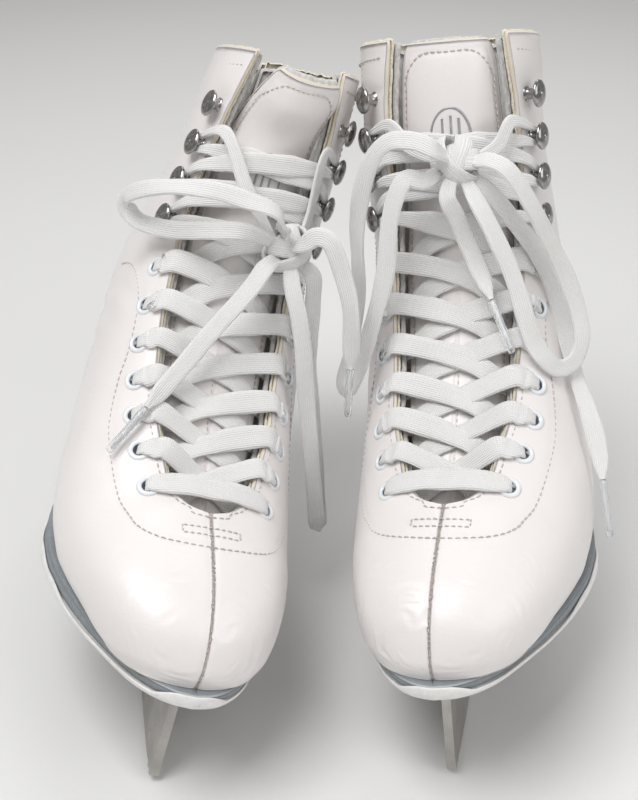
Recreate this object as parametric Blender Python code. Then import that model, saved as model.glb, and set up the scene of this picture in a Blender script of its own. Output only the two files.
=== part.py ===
"""Pair of white lace-up figure skates that stand on their blades and lean against each other.

Each skate is modelled once in its own frame and mirrored for the other foot. In that frame x points
to the outer side of the foot, y from toe to heel and z up, and the sole's underside lies at z = 0.
Sizes are in millimetres until a mesh is made, which is in metres.
"""

import math

import bpy
import numpy as np

MM = 0.001

# Overall sizes
BOOT_LENGTH = 265.0
BOOT_WIDTH = 104.0
BOOT_HEIGHT = 226.0
BLADE_HEIGHT = 50.0
BLADE_THICKNESS = 4.0

# Wall of the boot, as depths below its outer surface
GAP = 1.0
LEATHER = 1.8
STIFFENER = 0.8
LINING = 3.0
STIFFENER_TOP = LEATHER + GAP
LINING_TOP = STIFFENER_TOP + STIFFENER + GAP
WALL = LINING_TOP + LINING
SEAM_GAP = 0.2
SIDES = {1: "outer", -1: "inner"}

# Sole
SOLE_GAP = 0.5
OUTSOLE_THICKNESS = 3.8
OUTSOLE_GAP = 0.4
OUTSOLE_LIP = 0.8
BOARD_THICKNESS = 2.2
BOARD_INSET = 9.6
INSOLE_THICKNESS = 2.5
INSOLE_INSET = 14.6
PLATE_THICKNESS = 2.5
PLATE_GAP = 0.3

# Lacing
LACE_WIDTH = 8.0
LACE_THICKNESS = 1.2
LACE_ROOM = WALL + 3.8
LACE_UNDER = WALL + 1.8
LACE_OVER = -2.1
EYELET_COUNT = 7
EYELET_FIRST = 11.0
EYELET_PITCH = 18.2
EYELET_HOLE = 3.1
HOOK_COUNT = 4
HOOK_FIRST = 143.0
HOOK_PITCH = 15.2
HOOKS_LACED = 3
HOOK_WRAP = 3.25
HOOK_SEAT = 3.25
HOOK_CLEAR = 4.4
HOOK_SINK = 0.6
LACE_NARROW = 5.2
LACE_IN_HOLE = 2.8
LACE_IN_HOLE_THICKNESS = 1.4
LACE_ROUND_HOOK = (1.5, 2.3)
BAR_RISE = 0.7
HOOK_TURNS = (-100.0, -50.0, 0.0, 50.0, 100.0)
# Hook from its flange to its head, as radius and height
HOOK_PROFILE = ((4.6, 0.0), (4.6, 0.7), (1.9, 1.0), (1.9, 4.4), (4.3, 5.4), (4.0, 7.4), (1.6, 8.4))
KNOT_SIZE = (12.0, 10.5, 8.5)
KNOT_GAP = 1.3
FREE_LACE = 5.2
FREE_STEP = 17.0
AGLET_GAP = 0.3
AGLET_LENGTH = 25.0
AGLET_DIAMETER = 3.6

# Tongue
TONGUE_FACE = 1.8
TONGUE_GAP = 0.8
TONGUE_PAD = 5.0
TONGUE_FIRST = 5.7
TONGUE_LAST = 16.9
TONGUE_PIVOT_RUN = 24.0
TONGUE_COLUMNS = 11
TONGUE_AT = (5.7, 6.5, 9.0, 15.0, 16.2, 16.9)
TONGUE_HALF = (19.0, 27.0, 32.0, 30.5, 27.5, 22.0)
# How each tongue leans: from a height, over a height, about a foot, by degrees, and sideways
LEFT_TONGUE = {"from": 150.0, "over": 60.0, "foot": 158.0, "lean": 2.0, "sway": 0.0}
RIGHT_TONGUE = {"from": 178.0, "over": 32.0, "foot": 172.0, "lean": 28.0, "sway": 3.0}

# Sections of the boot from the toe tip up to the collar. Each row is top y z, bottom y z,
# half width outer and inner, half width of the flat bottom outer and inner, height share of
# the widest point, and squareness of the upper half.
SECTION_SIZE = (104.0, 265.0, 226.0)
SECTIONS = np.array([
    (0.0, 18.0, 38.0, 13.0, 36.5, 31.5, 35.9, 30.9, 0.03, 2.15),
    (-1.5, 28.0, 44.0, 13.0, 41.0, 34.5, 39.2, 33.2, 0.08, 2.15),
    (5.0, 41.0, 50.0, 13.0, 45.0, 37.0, 42.0, 34.5, 0.15, 2.20),
    (20.0, 51.0, 57.0, 13.0, 49.5, 39.5, 46.0, 36.0, 0.22, 2.25),
    (42.0, 57.0, 66.0, 13.0, 53.5, 42.0, 49.5, 37.5, 0.27, 2.25),
    (66.0, 62.0, 79.0, 13.0, 57.0, 44.0, 52.5, 39.0, 0.28, 2.15),
    (91.0, 77.0, 103.0, 14.5, 59.5, 46.0, 53.0, 39.0, 0.27, 2.05),
    (115.0, 96.0, 134.0, 22.0, 57.0, 48.0, 45.0, 36.0, 0.26, 2.00),
    (134.0, 118.0, 170.0, 37.0, 52.5, 49.0, 35.0, 32.0, 0.27, 2.05),
    (144.0, 137.0, 205.0, 48.0, 48.5, 49.5, 32.0, 31.0, 0.30, 2.10),
    (148.0, 149.0, 234.0, 51.0, 45.5, 49.0, 31.0, 30.0, 0.33, 2.15),
    (151.0, 158.0, 253.0, 52.0, 43.5, 48.5, 20.0, 19.5, 0.36, 2.20),
    (153.0, 166.0, 263.0, 60.0, 42.0, 48.0, 1.0, 1.0, 0.42, 2.20),
    (156.0, 176.0, 265.5, 82.0, 40.0, 47.5, 1.0, 1.0, 0.48, 2.20),
    (159.0, 187.0, 260.0, 110.0, 38.0, 47.0, 1.0, 1.0, 0.50, 2.20),
    (162.0, 199.0, 254.5, 138.0, 36.5, 46.5, 1.0, 1.0, 0.50, 2.20),
    (166.0, 212.0, 254.0, 168.0, 36.0, 45.5, 1.0, 1.0, 0.50, 2.25),
    (171.0, 226.0, 258.0, 200.0, 35.8, 45.0, 1.0, 1.0, 0.50, 2.30),
])
SCALE = np.array([BOOT_WIDTH, BOOT_LENGTH, BOOT_HEIGHT]) / SECTION_SIZE
SECTIONS[:, [0, 2]] *= SCALE[1]
SECTIONS[:, [1, 3]] *= SCALE[2]
SECTIONS[:, 4:8] *= SCALE[0]
LAST = len(SECTIONS) - 1
LOWER_SQUARENESS = 2.2
SEAT_ROWS = np.linspace(0.0, 11.3, 120)
ROWS = np.concatenate([[0.0, 0.5, 1.0, 2.0, 3.0, 4.0, 4.78, 4.93, 5.13, 5.4],
                       np.arange(6.0, 10.0, 0.5),
                       [10.0, 10.5, 11.0, 11.5, 12.0, 12.5, 13.0, 14.0, 15.0, 16.0, 17.0]])
SMALLEST_FLAT = 1.0

# Opening over the tongue: half width at the numbered sections
THROAT = 4.78
THROAT_ROUND = 0.62
THROAT_AT = (5.0, 5.9, 6.5, 8.0, 10.0, 14.0, 15.5, 17.0)
THROAT_HALF = (16.5, 22.5, 26.5, 29.0, 30.0, 29.5, 28.5, 25.5)
HOLE_AT = (11.0, 12.0, 17.0)
HOLE_IN = (9.5, 8.5, 8.0)

# Plan of the sole as y, half width outer, half width inner; and its heights by y
PLAN = np.array([
    (-2.6, 5.0, 4.5), (-1.0, 10.0, 9.0), (3.0, 16.5, 14.5), (11.0, 24.0, 21.0),
    (24.0, 32.0, 27.5), (40.0, 41.0, 33.5), (58.0, 49.5, 38.0), (80.0, 56.5, 41.5),
    (102.0, 58.5, 42.0), (128.0, 53.0, 40.0), (155.0, 43.5, 37.0), (182.0, 38.0, 35.5),
    (186.0, 37.5, 35.4), (210.0, 36.0, 35.0), (232.0, 34.5, 33.5), (248.0, 30.0, 29.0),
    (260.0, 21.0, 20.0), (266.5, 10.0, 9.5),
])
UNDER_Y = (-6.0, 0.0, 20.0, 40.0, 60.0, 80.0, 100.0, 120.0, 140.0, 170.0, 184.0)
UNDER_Z = (14.2, 13.2, 9.6, 6.8, 4.9, 4.2, 4.2, 6.6, 14.0, 27.0, 31.0)
HEEL_FRONT = 186.0

# Blade outline as y and height over the ice; no height means the underside of the plates
BLADE = (
    (15.0, 3.5), (17.5, 2.2), (19.0, 3.4), (22.0, 1.6), (24.0, 3.0), (28.0, 1.9), (33.0, 1.6),
    (50.0, 0.7), (80.0, 0.0), (205.0, 0.0), (240.0, 0.8), (268.0, 2.6), (276.0, 7.0),
    (274.0, 10.0), (262.0, 12.5), (256.0, 22.0), (254.0, None), (243.0, None), (240.0, 24.0),
    (229.0, 24.0), (222.0, None), (208.0, None), (205.0, 24.0), (192.0, 13.5), (150.0, 11.5),
    (118.0, 14.0), (108.0, 27.0), (108.0, None), (88.0, None), (76.0, 27.0), (60.0, 29.0),
    (44.0, 24.0), (36.0, None), (22.0, None),
)
TOE_PLATE = ((20.0, 9.0), (34.0, 19.0), (60.0, 24.0), (92.0, 23.0), (114.0, 13.0))
HEEL_PLATE = ((200.0, 14.0), (210.0, 19.0), (240.0, 20.0), (256.0, 13.0))

# Stance of the two skates: x, y of the blade's foot, yaw and lean in degrees
LEFT_STANCE = (51.7, -132.8, -12.5, -8.0)
RIGHT_STANCE = (-71.3, -136.8, 9.5, 18.0)
# Each shaft's sag: the height it starts from, the share it narrows by, and its sideways reach
LEFT_SHAFT = {"from": 100.0, "narrow": 0.0, "sway": 0.0}
RIGHT_SHAFT = {"from": 100.0, "narrow": 0.22, "sway": 8.0}

# Middle of each knot: distance up the ridge, across it, and depth below the boot's surface
LEFT_KNOT = {"run": 154.0, "across": 3.0, "depth": -6.5}
RIGHT_KNOT = {"run": 128.0, "across": -17.0, "depth": -6.5}
# Free ends of the laces, as points over the ice from their knot on; a loop comes back to its knot
LEFT_FREE = {
    "loop_a": ((46, 7, 236), (37, 9, 239), (26, 13, 236.5), (18.5, 15, 224), (14.5, 16, 198),
               (15.5, 15, 168), (12.5, 13, 138), (8.5, 9, 122), (11, 4, 121), (16, 3, 134),
               (22.5, 3, 159), (27, 5, 180.5), (28.5, 8, 205), (34, 10, 221), (43, 12.5, 220)),
    "loop_b": ((70, 10, 230), (78, 5, 227), (88, 3, 213), (97, 4, 197), (106, 4, 180), (113, 0, 163),
               (115, -5, 152), (111.5, -10, 144), (104, -15, 143), (97.5, -16, 148), (91, -13, 157),
               (82, -4, 182), (73, 1, 200), (66, 6, 212)),
    "tail_a": ((52.5, 6, 215), (57, 7, 205.5), (62, 7, 194.5), (68, 3, 182.5), (73, -5, 172)),
    "tail_b": ((72, 13, 214), (84, 13, 200), (95, 14, 185), (104, 14, 168), (108.5, 8, 153),
               (111.5, -1, 142.5), (114, -11, 134), (118, -24, 124), (121, -36, 112.5), (122, -45, 104)),
}
RIGHT_FREE = {
    "loop_a": ((-20, 8, 207), (-34, 6, 214), (-47, 9, 217), (-65, 16, 216), (-82, 26, 210.5),
               (-90, 34, 202.5), (-84.5, 33, 193), (-67, 19, 194.5), (-47, 9, 198.5), (-33, 7, 198.5)),
    "loop_b": ((-14, 7, 171), (-11, 2, 158), (-9, -1, 140), (-8, -3, 118), (-6, -4, 90), (-4, -4, 62),
               (-3.2, -3, 50), (-2.5, 1, 45), (-2.5, 6, 49), (-3.5, 8, 62), (-5, 8, 90),
               (-6.5, 8.5, 118), (-7, 11, 140), (-5, 15, 162), (-5, 16, 173)),
    "tail_a": ((-26, 6, 182), (-33, 0, 174), (-48, -9, 160), (-65, -25, 145), (-76.5, -37, 136)),
    "tail_b": ((-8, 6, 194), (-3, 3, 198), (3, 0, 196), (8.5, -3, 181), (11.5, -6, 168), (12, -7, 151),
               (11.7, -7, 138.5)),
}


def smooth(table, at):
    """Cubic through the rows of a table at whole numbers, straight beyond its ends."""
    at = np.asarray(at, float)
    table = np.vstack([2 * table[0] - table[1], table, 2 * table[-1] - table[-2]])
    inside = np.clip(at, 0.0, len(table) - 3.0)
    low = np.minimum(np.floor(inside).astype(int), len(table) - 4)
    part = (inside - low)[..., None]
    before, first, second, after = (table[low + i] for i in range(4))
    value = first + 0.5 * part * (second - before + part * (
        2 * before - 5 * first + 4 * second - after
        + part * (3 * (first - second) + after - before)))
    beyond = (at - inside)[..., None]
    end = np.where(beyond > 0, table[-2] - table[-3], table[2] - table[1])
    return value + beyond * end


def skin(section, turn, side, depth):
    """Point of the boot at a section; turn runs from 0 on the ridge to pi at the bottom corner."""
    section, turn, side = np.broadcast_arrays(
        np.asarray(section, float), np.asarray(turn, float), np.asarray(side, float))
    row = smooth(SECTIONS, section)
    outer = side > 0
    wide = np.where(outer, row[..., 4], row[..., 5]) - depth
    flat = np.maximum(np.where(outer, row[..., 6], row[..., 7]) - depth, SMALLEST_FLAT)
    down = row[..., 2:4] - row[..., 0:2]
    length = np.linalg.norm(down, axis=-1)
    body = length - 2 * depth
    hip = row[..., 8] * body
    round_top = 2 / row[..., 9]
    round_low = 2 / LOWER_SQUARENESS
    sine = np.sin(np.clip(turn, 0.0, math.pi))
    cosine = np.cos(np.clip(turn, 0.0, math.pi))
    upper = cosine >= 0
    across = np.where(upper, wide * sine ** round_top,
                      flat + (wide - flat) * sine ** round_low)
    rise = np.where(upper, hip + (body - hip) * np.abs(cosine) ** round_top,
                    hip * (1 - np.abs(cosine) ** round_low))
    share = (rise + depth) / length
    place = row[..., 2:4] - down * share[..., None]
    return np.stack([side * across, place[..., 0], place[..., 1]], axis=-1)


def throat_half(section):
    """Half width of the opening over the tongue."""
    part = np.clip((np.asarray(section, float) - THROAT) / THROAT_ROUND, 0.0, 1.0)
    half = np.interp(section, THROAT_AT, THROAT_HALF) * SCALE[0]
    return SEAM_GAP + half * np.sqrt(1 - (1 - part) ** 2)


def turn_at(section, across, side, depth):
    """Turn at which the upper half of a section is this far from the middle."""
    row = smooth(SECTIONS, section)
    wide = np.where(np.asarray(side) > 0, row[..., 4], row[..., 5]) - depth
    return np.arcsin(np.clip(across / wide, 0.0, 0.985) ** (row[..., 9] / 2))


FINE = np.linspace(THROAT, LAST + 1.5, 400)
RIDGE = smooth(SECTIONS, FINE)[:, 0:2]
RIDGE_RUN = np.concatenate([[0.0], np.cumsum(np.linalg.norm(np.diff(RIDGE, axis=0), axis=1))])


def section_at(run):
    """Section number at this distance along the ridge from the bottom of the throat."""
    return np.interp(run, RIDGE_RUN, FINE)


def on_front(run, across, depth):
    """Point over or under the front of the boot, by its distance up the ridge and across it."""
    section = section_at(run)
    side = 1.0 if across >= 0 else -1.0
    return skin(section, turn_at(section, abs(across), side, 0.0), side, depth)


def volume_of(points, faces):
    """Six times the volume inside the faces, negative when they face inwards."""
    total = 0.0
    for face in faces:
        for i in range(1, len(face) - 1):
            a, b, c = points[face[0]], points[face[i]], points[face[i + 1]]
            total += float(np.dot(a, np.cross(b, c)))
    return total


def make_material(name, colour, roughness, metallic=0.0):
    """Plain material of one colour."""
    material = bpy.data.materials.new(name)
    material.use_nodes = True
    shader = next(node for node in material.node_tree.nodes if node.type == "BSDF_PRINCIPLED")
    shader.inputs["Base Color"].default_value = (*colour, 1.0)
    shader.inputs["Roughness"].default_value = roughness
    shader.inputs["Metallic"].default_value = metallic
    return material


def slump(points, shaft):
    """Lets the shaft sag towards the inner side and narrow, more the higher it is."""
    part = np.clip((points[:, 2] - shaft["from"]) / (BOOT_HEIGHT - shaft["from"]), 0.0, 1.3)
    moved = points.copy()
    moved[:, 0] = points[:, 0] * (1 - shaft["narrow"] * part) - shaft["sway"] * part ** 1.5
    return moved


def add_mesh(name, points, faces, look, smooth_faces=True):
    """Adds a closed body whose points are in millimetres."""
    if volume_of(points, faces) < 0:
        faces = [tuple(reversed(face)) for face in faces]
    mesh = bpy.data.meshes.new(name)
    mesh.from_pydata((points * MM).tolist(), [], faces)
    mesh.materials.append(LOOKS[look])
    mesh.polygons.foreach_set("use_smooth", [smooth_faces] * len(faces))
    mesh.update()
    solid = bpy.data.objects.new(name, mesh)
    bpy.context.scene.collection.objects.link(solid)
    return solid


def worn(skate, points):
    """Points of the outer side's frame as they are in this skate's frame."""
    points = slump(np.atleast_2d(points).astype(float), skate["shaft"])
    points[:, 0] *= skate["mirror"]
    return points


def add_solid(skate, name, points, faces, look, smooth_faces=True, parent=None):
    """Adds a closed body, given in the outer side's frame, to one skate."""
    centre = np.zeros(3) if parent is None else parent["centre"]
    solid = add_mesh(skate["name"] + name, worn(skate, points) - centre, faces, look, smooth_faces)
    solid.parent = skate["frame"] if parent is None else parent["frame"]
    return solid


def in_stance(skate, point):
    """Place in the stance of a point given in the outer side's frame."""
    frame = np.array(skate["frame"].matrix_basis)
    return frame[:3, :3] @ worn(skate, point)[0] + frame[:3, 3] / MM


def sheet(outer, inner):
    """Closed body between two equal grids of points."""
    rows, columns = outer.shape[:2]
    points = np.concatenate([outer.reshape(-1, 3), inner.reshape(-1, 3)])
    under = rows * columns

    def at(i, j):
        return i * columns + j

    faces = []
    for i in range(rows - 1):
        for j in range(columns - 1):
            quad = (at(i, j), at(i + 1, j), at(i + 1, j + 1), at(i, j + 1))
            faces.append(quad)
            faces.append(tuple(under + corner for corner in reversed(quad)))
    rim = [at(0, j) for j in range(columns)]
    rim += [at(i, columns - 1) for i in range(1, rows)]
    rim += [at(rows - 1, j) for j in range(columns - 2, -1, -1)]
    rim += [at(i, 0) for i in range(rows - 2, 0, -1)]
    for i, corner in enumerate(rim):
        following = rim[(i + 1) % len(rim)]
        faces.append((corner, following, under + following, under + corner))
    return points, faces


def half_patch(sections, side, depths, first_turn, last_turn, columns):
    """Sheet of one side of the boot, between two depths."""
    sections = np.asarray(sections, float)[:, None]
    share = np.linspace(0.0, 1.0, columns)[None, :]
    layers = []
    start = first_turn(sections)
    turn = start + (last_turn - start) * share
    for depth in depths:
        layer = skin(sections, turn, side, depth)
        layer[..., 0] += side * SEAM_GAP
        layers.append(layer)
    return sheet(*layers)


def whole_patch(sections, depths, half_turn, columns, shape=None):
    """Sheet that crosses the ridge, as far as half_turn on each side."""
    sections = np.asarray(sections, float)[:, None]
    share = np.linspace(-1.0, 1.0, columns)[None, :]
    side = np.where(share >= 0, 1.0, -1.0)
    layers = []
    turn = half_turn(sections, side) * np.abs(share)
    for depth in depths:
        layer = skin(sections, turn, side, depth)
        layers.append(layer if shape is None else shape(layer))
    return sheet(*layers)


def loft(rows):
    """Closed body through a list of equal rings of points."""
    count = len(rows[0])
    points = np.concatenate([np.asarray(row, float) for row in rows])
    faces = [tuple(range(count)), tuple(reversed(range(len(points) - count, len(points))))]
    for i in range(len(rows) - 1):
        for j in range(count):
            a, b = i * count + j, i * count + (j + 1) % count
            faces.append((a, a + count, b + count, b))
    return points, faces


def plan_half(y, inset):
    """Half widths of the sole's plan at y, brought in by an inset."""
    table = PLAN.copy()
    table[:, 0] *= SCALE[1]
    outer = np.interp(y, table[:, 0], table[:, 1]) * SCALE[0] - inset
    inner = np.interp(y, table[:, 0], table[:, 2]) * SCALE[0] - inset
    return outer, inner


def slab(stations, inset, top, bottom):
    """Body with the sole's plan, whose top and bottom heights follow y."""
    rows = []
    for y in stations:
        outer, inner = plan_half(y, inset)
        rows.append([(outer, y, top(y)), (-inner, y, top(y)), (-inner, y, bottom(y)),
                     (outer, y, bottom(y))])
    return loft(rows)


def seat(y):
    """Height of the upper's lower edge."""
    bottom = smooth(SECTIONS, SEAT_ROWS)[:, 2:4]
    first = np.array([SECTIONS[0, 0:2]])
    line = np.concatenate([first, bottom])
    return float(np.interp(y, line[:, 0], line[:, 1]))


def under(y):
    """Underside of the midsole, down to the heel's foot behind the arch."""
    if y >= HEEL_FRONT * SCALE[1] - 1e-6:
        return SOLE_GAP
    return float(np.interp(y / SCALE[1], UNDER_Y, UNDER_Z))


def turned(profile, sides, centre, axis, across):
    """Body of revolution: profile of radius and height pairs, along an axis."""
    third = np.cross(axis, across)
    angles = np.arange(sides) * 2 * math.pi / sides
    rows = []
    for radius, height in profile:
        rows.append([centre + axis * height
                     + radius * (math.cos(angle) * across + math.sin(angle) * third)
                     for angle in angles])
    return loft(rows)


def front_frame(run, across, depth):
    """Point on the front with the surface's own directions there: across, up the ridge, outward."""
    step = 0.5
    here = on_front(run, across, depth)
    along = on_front(run + step, across, depth) - on_front(run - step, across, depth)
    sideways = on_front(run, across + step, depth) - on_front(run, across - step, depth)
    along /= np.linalg.norm(along)
    outward = np.cross(sideways, along)
    outward /= np.linalg.norm(outward)
    if outward @ (on_front(run, across, depth - step) - here) < 0:
        outward = -outward
    sideways = np.cross(along, outward)
    if sideways[0] < 0:
        sideways = -sideways
    return here, sideways, along, outward


def hole_across(run, side):
    """Distance from the ridge, across, of an eyelet or a hook that is set in from the facing's edge."""
    section = section_at(run)
    start = turn_at(section, throat_half(section), side, 0.0)
    line = skin(section, np.linspace(start, math.pi / 2, 80), side, 0.0)
    walked = np.concatenate([[0.0], np.cumsum(np.linalg.norm(np.diff(line, axis=0), axis=1))])
    return float(np.interp(np.interp(section, HOLE_AT, HOLE_IN), walked, np.abs(line[:, 0])))


def level_run(level):
    """Distance up the ridge of a lacing level, eyelets first and then hooks."""
    if level < EYELET_COUNT:
        return EYELET_FIRST + EYELET_PITCH * level
    return HOOK_FIRST + HOOK_PITCH * (level - EYELET_COUNT)


class Route:
    """Way of the flat lace: places, surface normals, run directions, widths and thicknesses."""

    def __init__(self):
        self.places, self.normals, self.runs, self.widths, self.thick = [], [], [], [], []
        self.turns = []

    def add(self, place, normal, width, thickness, sign, run=None):
        self.places.append(place)
        self.normals.append(normal)
        self.widths.append(width)
        self.thick.append(thickness)
        self.turns.append(sign)
        self.runs.append(run)

    def on(self, run, across, depth, width, thickness, sign):
        here, _, _, outward = front_frame(run, across, depth)
        self.add(here, outward, width, thickness, sign)


def through_eyelet(route, level, side, sign):
    """Down through an eyelet from outside; returns the lace's new face."""
    run = level_run(level)
    across = side * hole_across(run, side)
    for depth in (-0.3, WALL / 2, WALL + 0.8):
        here, sideways, _, outward = front_frame(run, across, depth)
        route.add(here, outward, LACE_IN_HOLE, LACE_IN_HOLE_THICKNESS, sign, side * sideways)
    route.on(run + 1.0, side * (abs(across) - 4.0), LACE_UNDER + 0.4, 3.2, LACE_THICKNESS, -sign)
    return -sign


def around_hook(route, level, side, sign):
    """Once round the outer side of a hook's stem, from below it to above it."""
    run = level_run(level)
    here, sideways, along, outward = front_frame(run, side * hole_across(run, side), 0.0)
    edge = float(throat_half(section_at(run)))
    route.on(run - HOOK_CLEAR, side * (edge - 1.0), LACE_OVER, LACE_NARROW, LACE_THICKNESS, sign)
    for angle in HOOK_TURNS:
        turn = math.radians(angle)
        place = here + outward * HOOK_SEAT + HOOK_WRAP * (
            math.cos(turn) * side * sideways + math.sin(turn) * along)
        route.add(place, outward, *LACE_ROUND_HOOK, sign)


def cross_over(route, level, side, sign, high):
    """From one level on this side, over the tongue, to the next level on the other side."""
    hooked, next_hooked = level >= EYELET_COUNT, level + 1 >= EYELET_COUNT
    start, end = level_run(level), level_run(level + 1)
    if hooked:
        edge = float(throat_half(section_at(start)))
        route.on(start + HOOK_CLEAR, side * (edge - 1.0), LACE_OVER, LACE_NARROW, LACE_THICKNESS,
                 sign)
        start += 4.6
        first = 2.4
    else:
        start += 2.0
        edge = float(throat_half(section_at(start)))
        route.on(start, side * edge * 0.84, LACE_UNDER, LACE_WIDTH, LACE_THICKNESS, sign)
        first = LACE_UNDER
    end -= 4.6 if next_hooked else 1.2
    middle = LACE_UNDER - 2.2 if high else LACE_UNDER - 0.1
    half = 0.45 * edge
    route.on(start + 0.28 * (end - start), side * half, 0.35 * first + 0.65 * middle,
             LACE_WIDTH, LACE_THICKNESS, sign)
    route.on(0.5 * (start + end), 0.0, middle, LACE_WIDTH, LACE_THICKNESS, sign)
    route.on(start + 0.72 * (end - start), -side * half, 0.65 * middle + 0.8,
             LACE_WIDTH, LACE_THICKNESS, sign)
    if next_hooked:
        around_hook(route, level + 1, -side, sign)
        return sign
    edge = float(throat_half(section_at(end)))
    route.on(end - 0.6, -side * (edge - 2.4), LACE_OVER + 0.3, LACE_WIDTH, LACE_THICKNESS, sign)
    route.on(end, -side * (edge + 2.5), LACE_OVER, LACE_WIDTH, LACE_THICKNESS, sign)
    across = hole_across(level_run(level + 1), -side)
    route.on(level_run(level + 1) - 0.9, -side * (across - 3.4), LACE_OVER - 0.2, 3.4,
             LACE_THICKNESS, sign)
    return through_eyelet(route, level + 1, -side, sign)


def half_lacing(side, knot):
    """One end of the lace from the first eyelet up to the knot."""
    route = Route()
    sign = through_eyelet(route, 0, side, side)
    last = EYELET_COUNT + HOOKS_LACED - 1
    for level in range(last):
        sign = cross_over(route, level, side, sign, side > 0)
        side = -side
    run = level_run(last)
    edge = float(throat_half(section_at(run)))
    route.on(run + 1.5, side * (edge - 5.0), -3.6, 5.0, 1.6, sign)
    reach = knot["across"] + side * KNOT_SIZE[0] * 0.55
    route.on(0.5 * (run + knot["run"]), 0.5 * (side * edge + reach), -3.2, 5.0, 1.6, sign)
    route.on(knot["run"] + 1.5, reach, knot["depth"] + 2.5, 4.0, 2.0, sign)
    return route


def ribbon(route):
    """Closed flat band along a route."""
    places = np.array(route.places)
    ahead = np.gradient(places, axis=0)
    rows = []
    for i, place in enumerate(places):
        forward = ahead[i] / np.linalg.norm(ahead[i])
        run = forward if route.runs[i] is None else route.runs[i]
        across = np.cross(route.normals[i], run) * route.turns[i]
        across -= forward * (across @ forward)
        across /= np.linalg.norm(across)
        up = np.cross(forward, across)
        wide, thick = across * route.widths[i] / 2, up * route.thick[i] / 2
        rows.append([place + wide + thick, place - wide + thick,
                     place - wide - thick, place + wide - thick])
    return loft(rows)


def lacing(knot):
    """The held part of the lace: knot, outer run, bar at the bottom, inner run, knot."""
    outer, inner = half_lacing(1.0, knot), half_lacing(-1.0, knot)
    whole = Route()
    for i in reversed(range(len(outer.places))):
        run = outer.runs[i]
        whole.add(outer.places[i], outer.normals[i], outer.widths[i], outer.thick[i],
                  -outer.turns[i], None if run is None else -run)
    run = level_run(0)
    edge = float(throat_half(section_at(run)))
    steps = (hole_across(run, 1) - 3.0, edge - 0.5, edge * 0.5, 0.0, -edge * 0.5, 0.5 - edge,
             3.0 - hole_across(run, -1))
    for step in steps:
        whole.on(run, step, LACE_OVER if step else LACE_OVER + BAR_RISE,
                 LACE_WIDTH if abs(step) < edge else 5.0, LACE_THICKNESS, -1.0)
    for i in range(len(inner.places)):
        whole.add(inner.places[i], inner.normals[i], inner.widths[i], inner.thick[i],
                  inner.turns[i], inner.runs[i])
    return ribbon(whole)


def ball(centre, axes, sizes, rings, sides):
    """Ellipsoid with flat poles, by three axes and their half sizes."""
    rows = []
    for i in range(1, rings):
        height = math.cos(math.pi * i / rings)
        radius = math.sin(math.pi * i / rings)
        rows.append([centre + axes[2] * sizes[2] * height
                     + radius * (axes[0] * sizes[0] * math.cos(angle)
                                 + axes[1] * sizes[1] * math.sin(angle))
                     for angle in np.arange(sides) * 2 * math.pi / sides])
    return loft(rows)


def hide(tool):
    """Marks a body as a tool that shapes others and is not a piece."""
    tool.hide_render = True
    tool.display_type = "WIRE"


def combine(solid, tool, operation):
    """Cuts a tool from a solid or joins it on."""
    modifier = solid.modifiers.new(operation.title(), "BOOLEAN")
    modifier.operation = operation
    modifier.solver = "EXACT"
    modifier.object = tool


def eyelet_cutter(skate, side):
    """Cylinders through every eyelet of one side, in one cutter."""
    points, faces = [], []
    for level in range(EYELET_COUNT):
        run = level_run(level)
        across = side * hole_across(run, side)
        start = on_front(run, across, -3.0)
        end = on_front(run, across, WALL + 3.0)
        axis = (end - start) / np.linalg.norm(end - start)
        sideways = np.array([1.0, 0.0, 0.0]) - axis * axis[0]
        sideways /= np.linalg.norm(sideways)
        reach = float(np.linalg.norm(end - start))
        more, walls = turned(((EYELET_HOLE, 0.0), (EYELET_HOLE, reach)), 8, start, axis, sideways)
        if volume_of(more, walls) < 0:
            walls = [tuple(reversed(wall)) for wall in walls]
        faces += [tuple(len(points) + corner for corner in wall) for wall in walls]
        points += more.tolist()
    tool = add_solid(skate, "eyelet_cutter_" + SIDES[side], points, faces, "steel")
    hide(tool)
    return tool


def add_upper(skate):
    """Leather and felt lining of both sides, with the eyelet holes."""
    for side, word in SIDES.items():
        def first_turn(sections, side=side):
            return turn_at(sections, throat_half(sections), side, 0.0)

        cutter = eyelet_cutter(skate, side)
        points, faces = half_patch(ROWS, side, (0.0, LEATHER), first_turn, math.pi, 10)
        leather = add_solid(skate, "upper_" + word, points, faces, "leather")
        combine(leather, cutter, "DIFFERENCE")
        points, faces = half_patch(np.append(ROWS[5:-1], LAST - 0.12), side, (LINING_TOP, WALL),
                                   first_turn, math.pi * 0.9, 8)
        lining = add_solid(skate, "lining_" + word, points, faces, "felt")
        combine(lining, cutter, "DIFFERENCE")


def add_stiffeners(skate):
    """Board in the toe and round the heel, between leather and lining."""
    depths = (STIFFENER_TOP, STIFFENER_TOP + STIFFENER)
    points, faces = whole_patch(ROWS[1:6], depths, lambda sections, side: 0.8 * math.pi, 17)
    add_solid(skate, "toe_puff", points, faces, "board")
    sections = ROWS[(ROWS >= 12.0) & (ROWS <= 14.0)][:, None]
    share = np.linspace(-1.0, 1.0, 11)[None, :]
    side = np.where(share >= 0, 1.0, -1.0)
    start = turn_at(sections, throat_half(sections), side, 0.0)
    turn = math.pi - (math.pi - start) * 0.5 * np.abs(share)
    points, faces = sheet(*(skin(sections, turn, side, depth) for depth in depths))
    add_solid(skate, "heel_counter", points, faces, "board")


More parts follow.
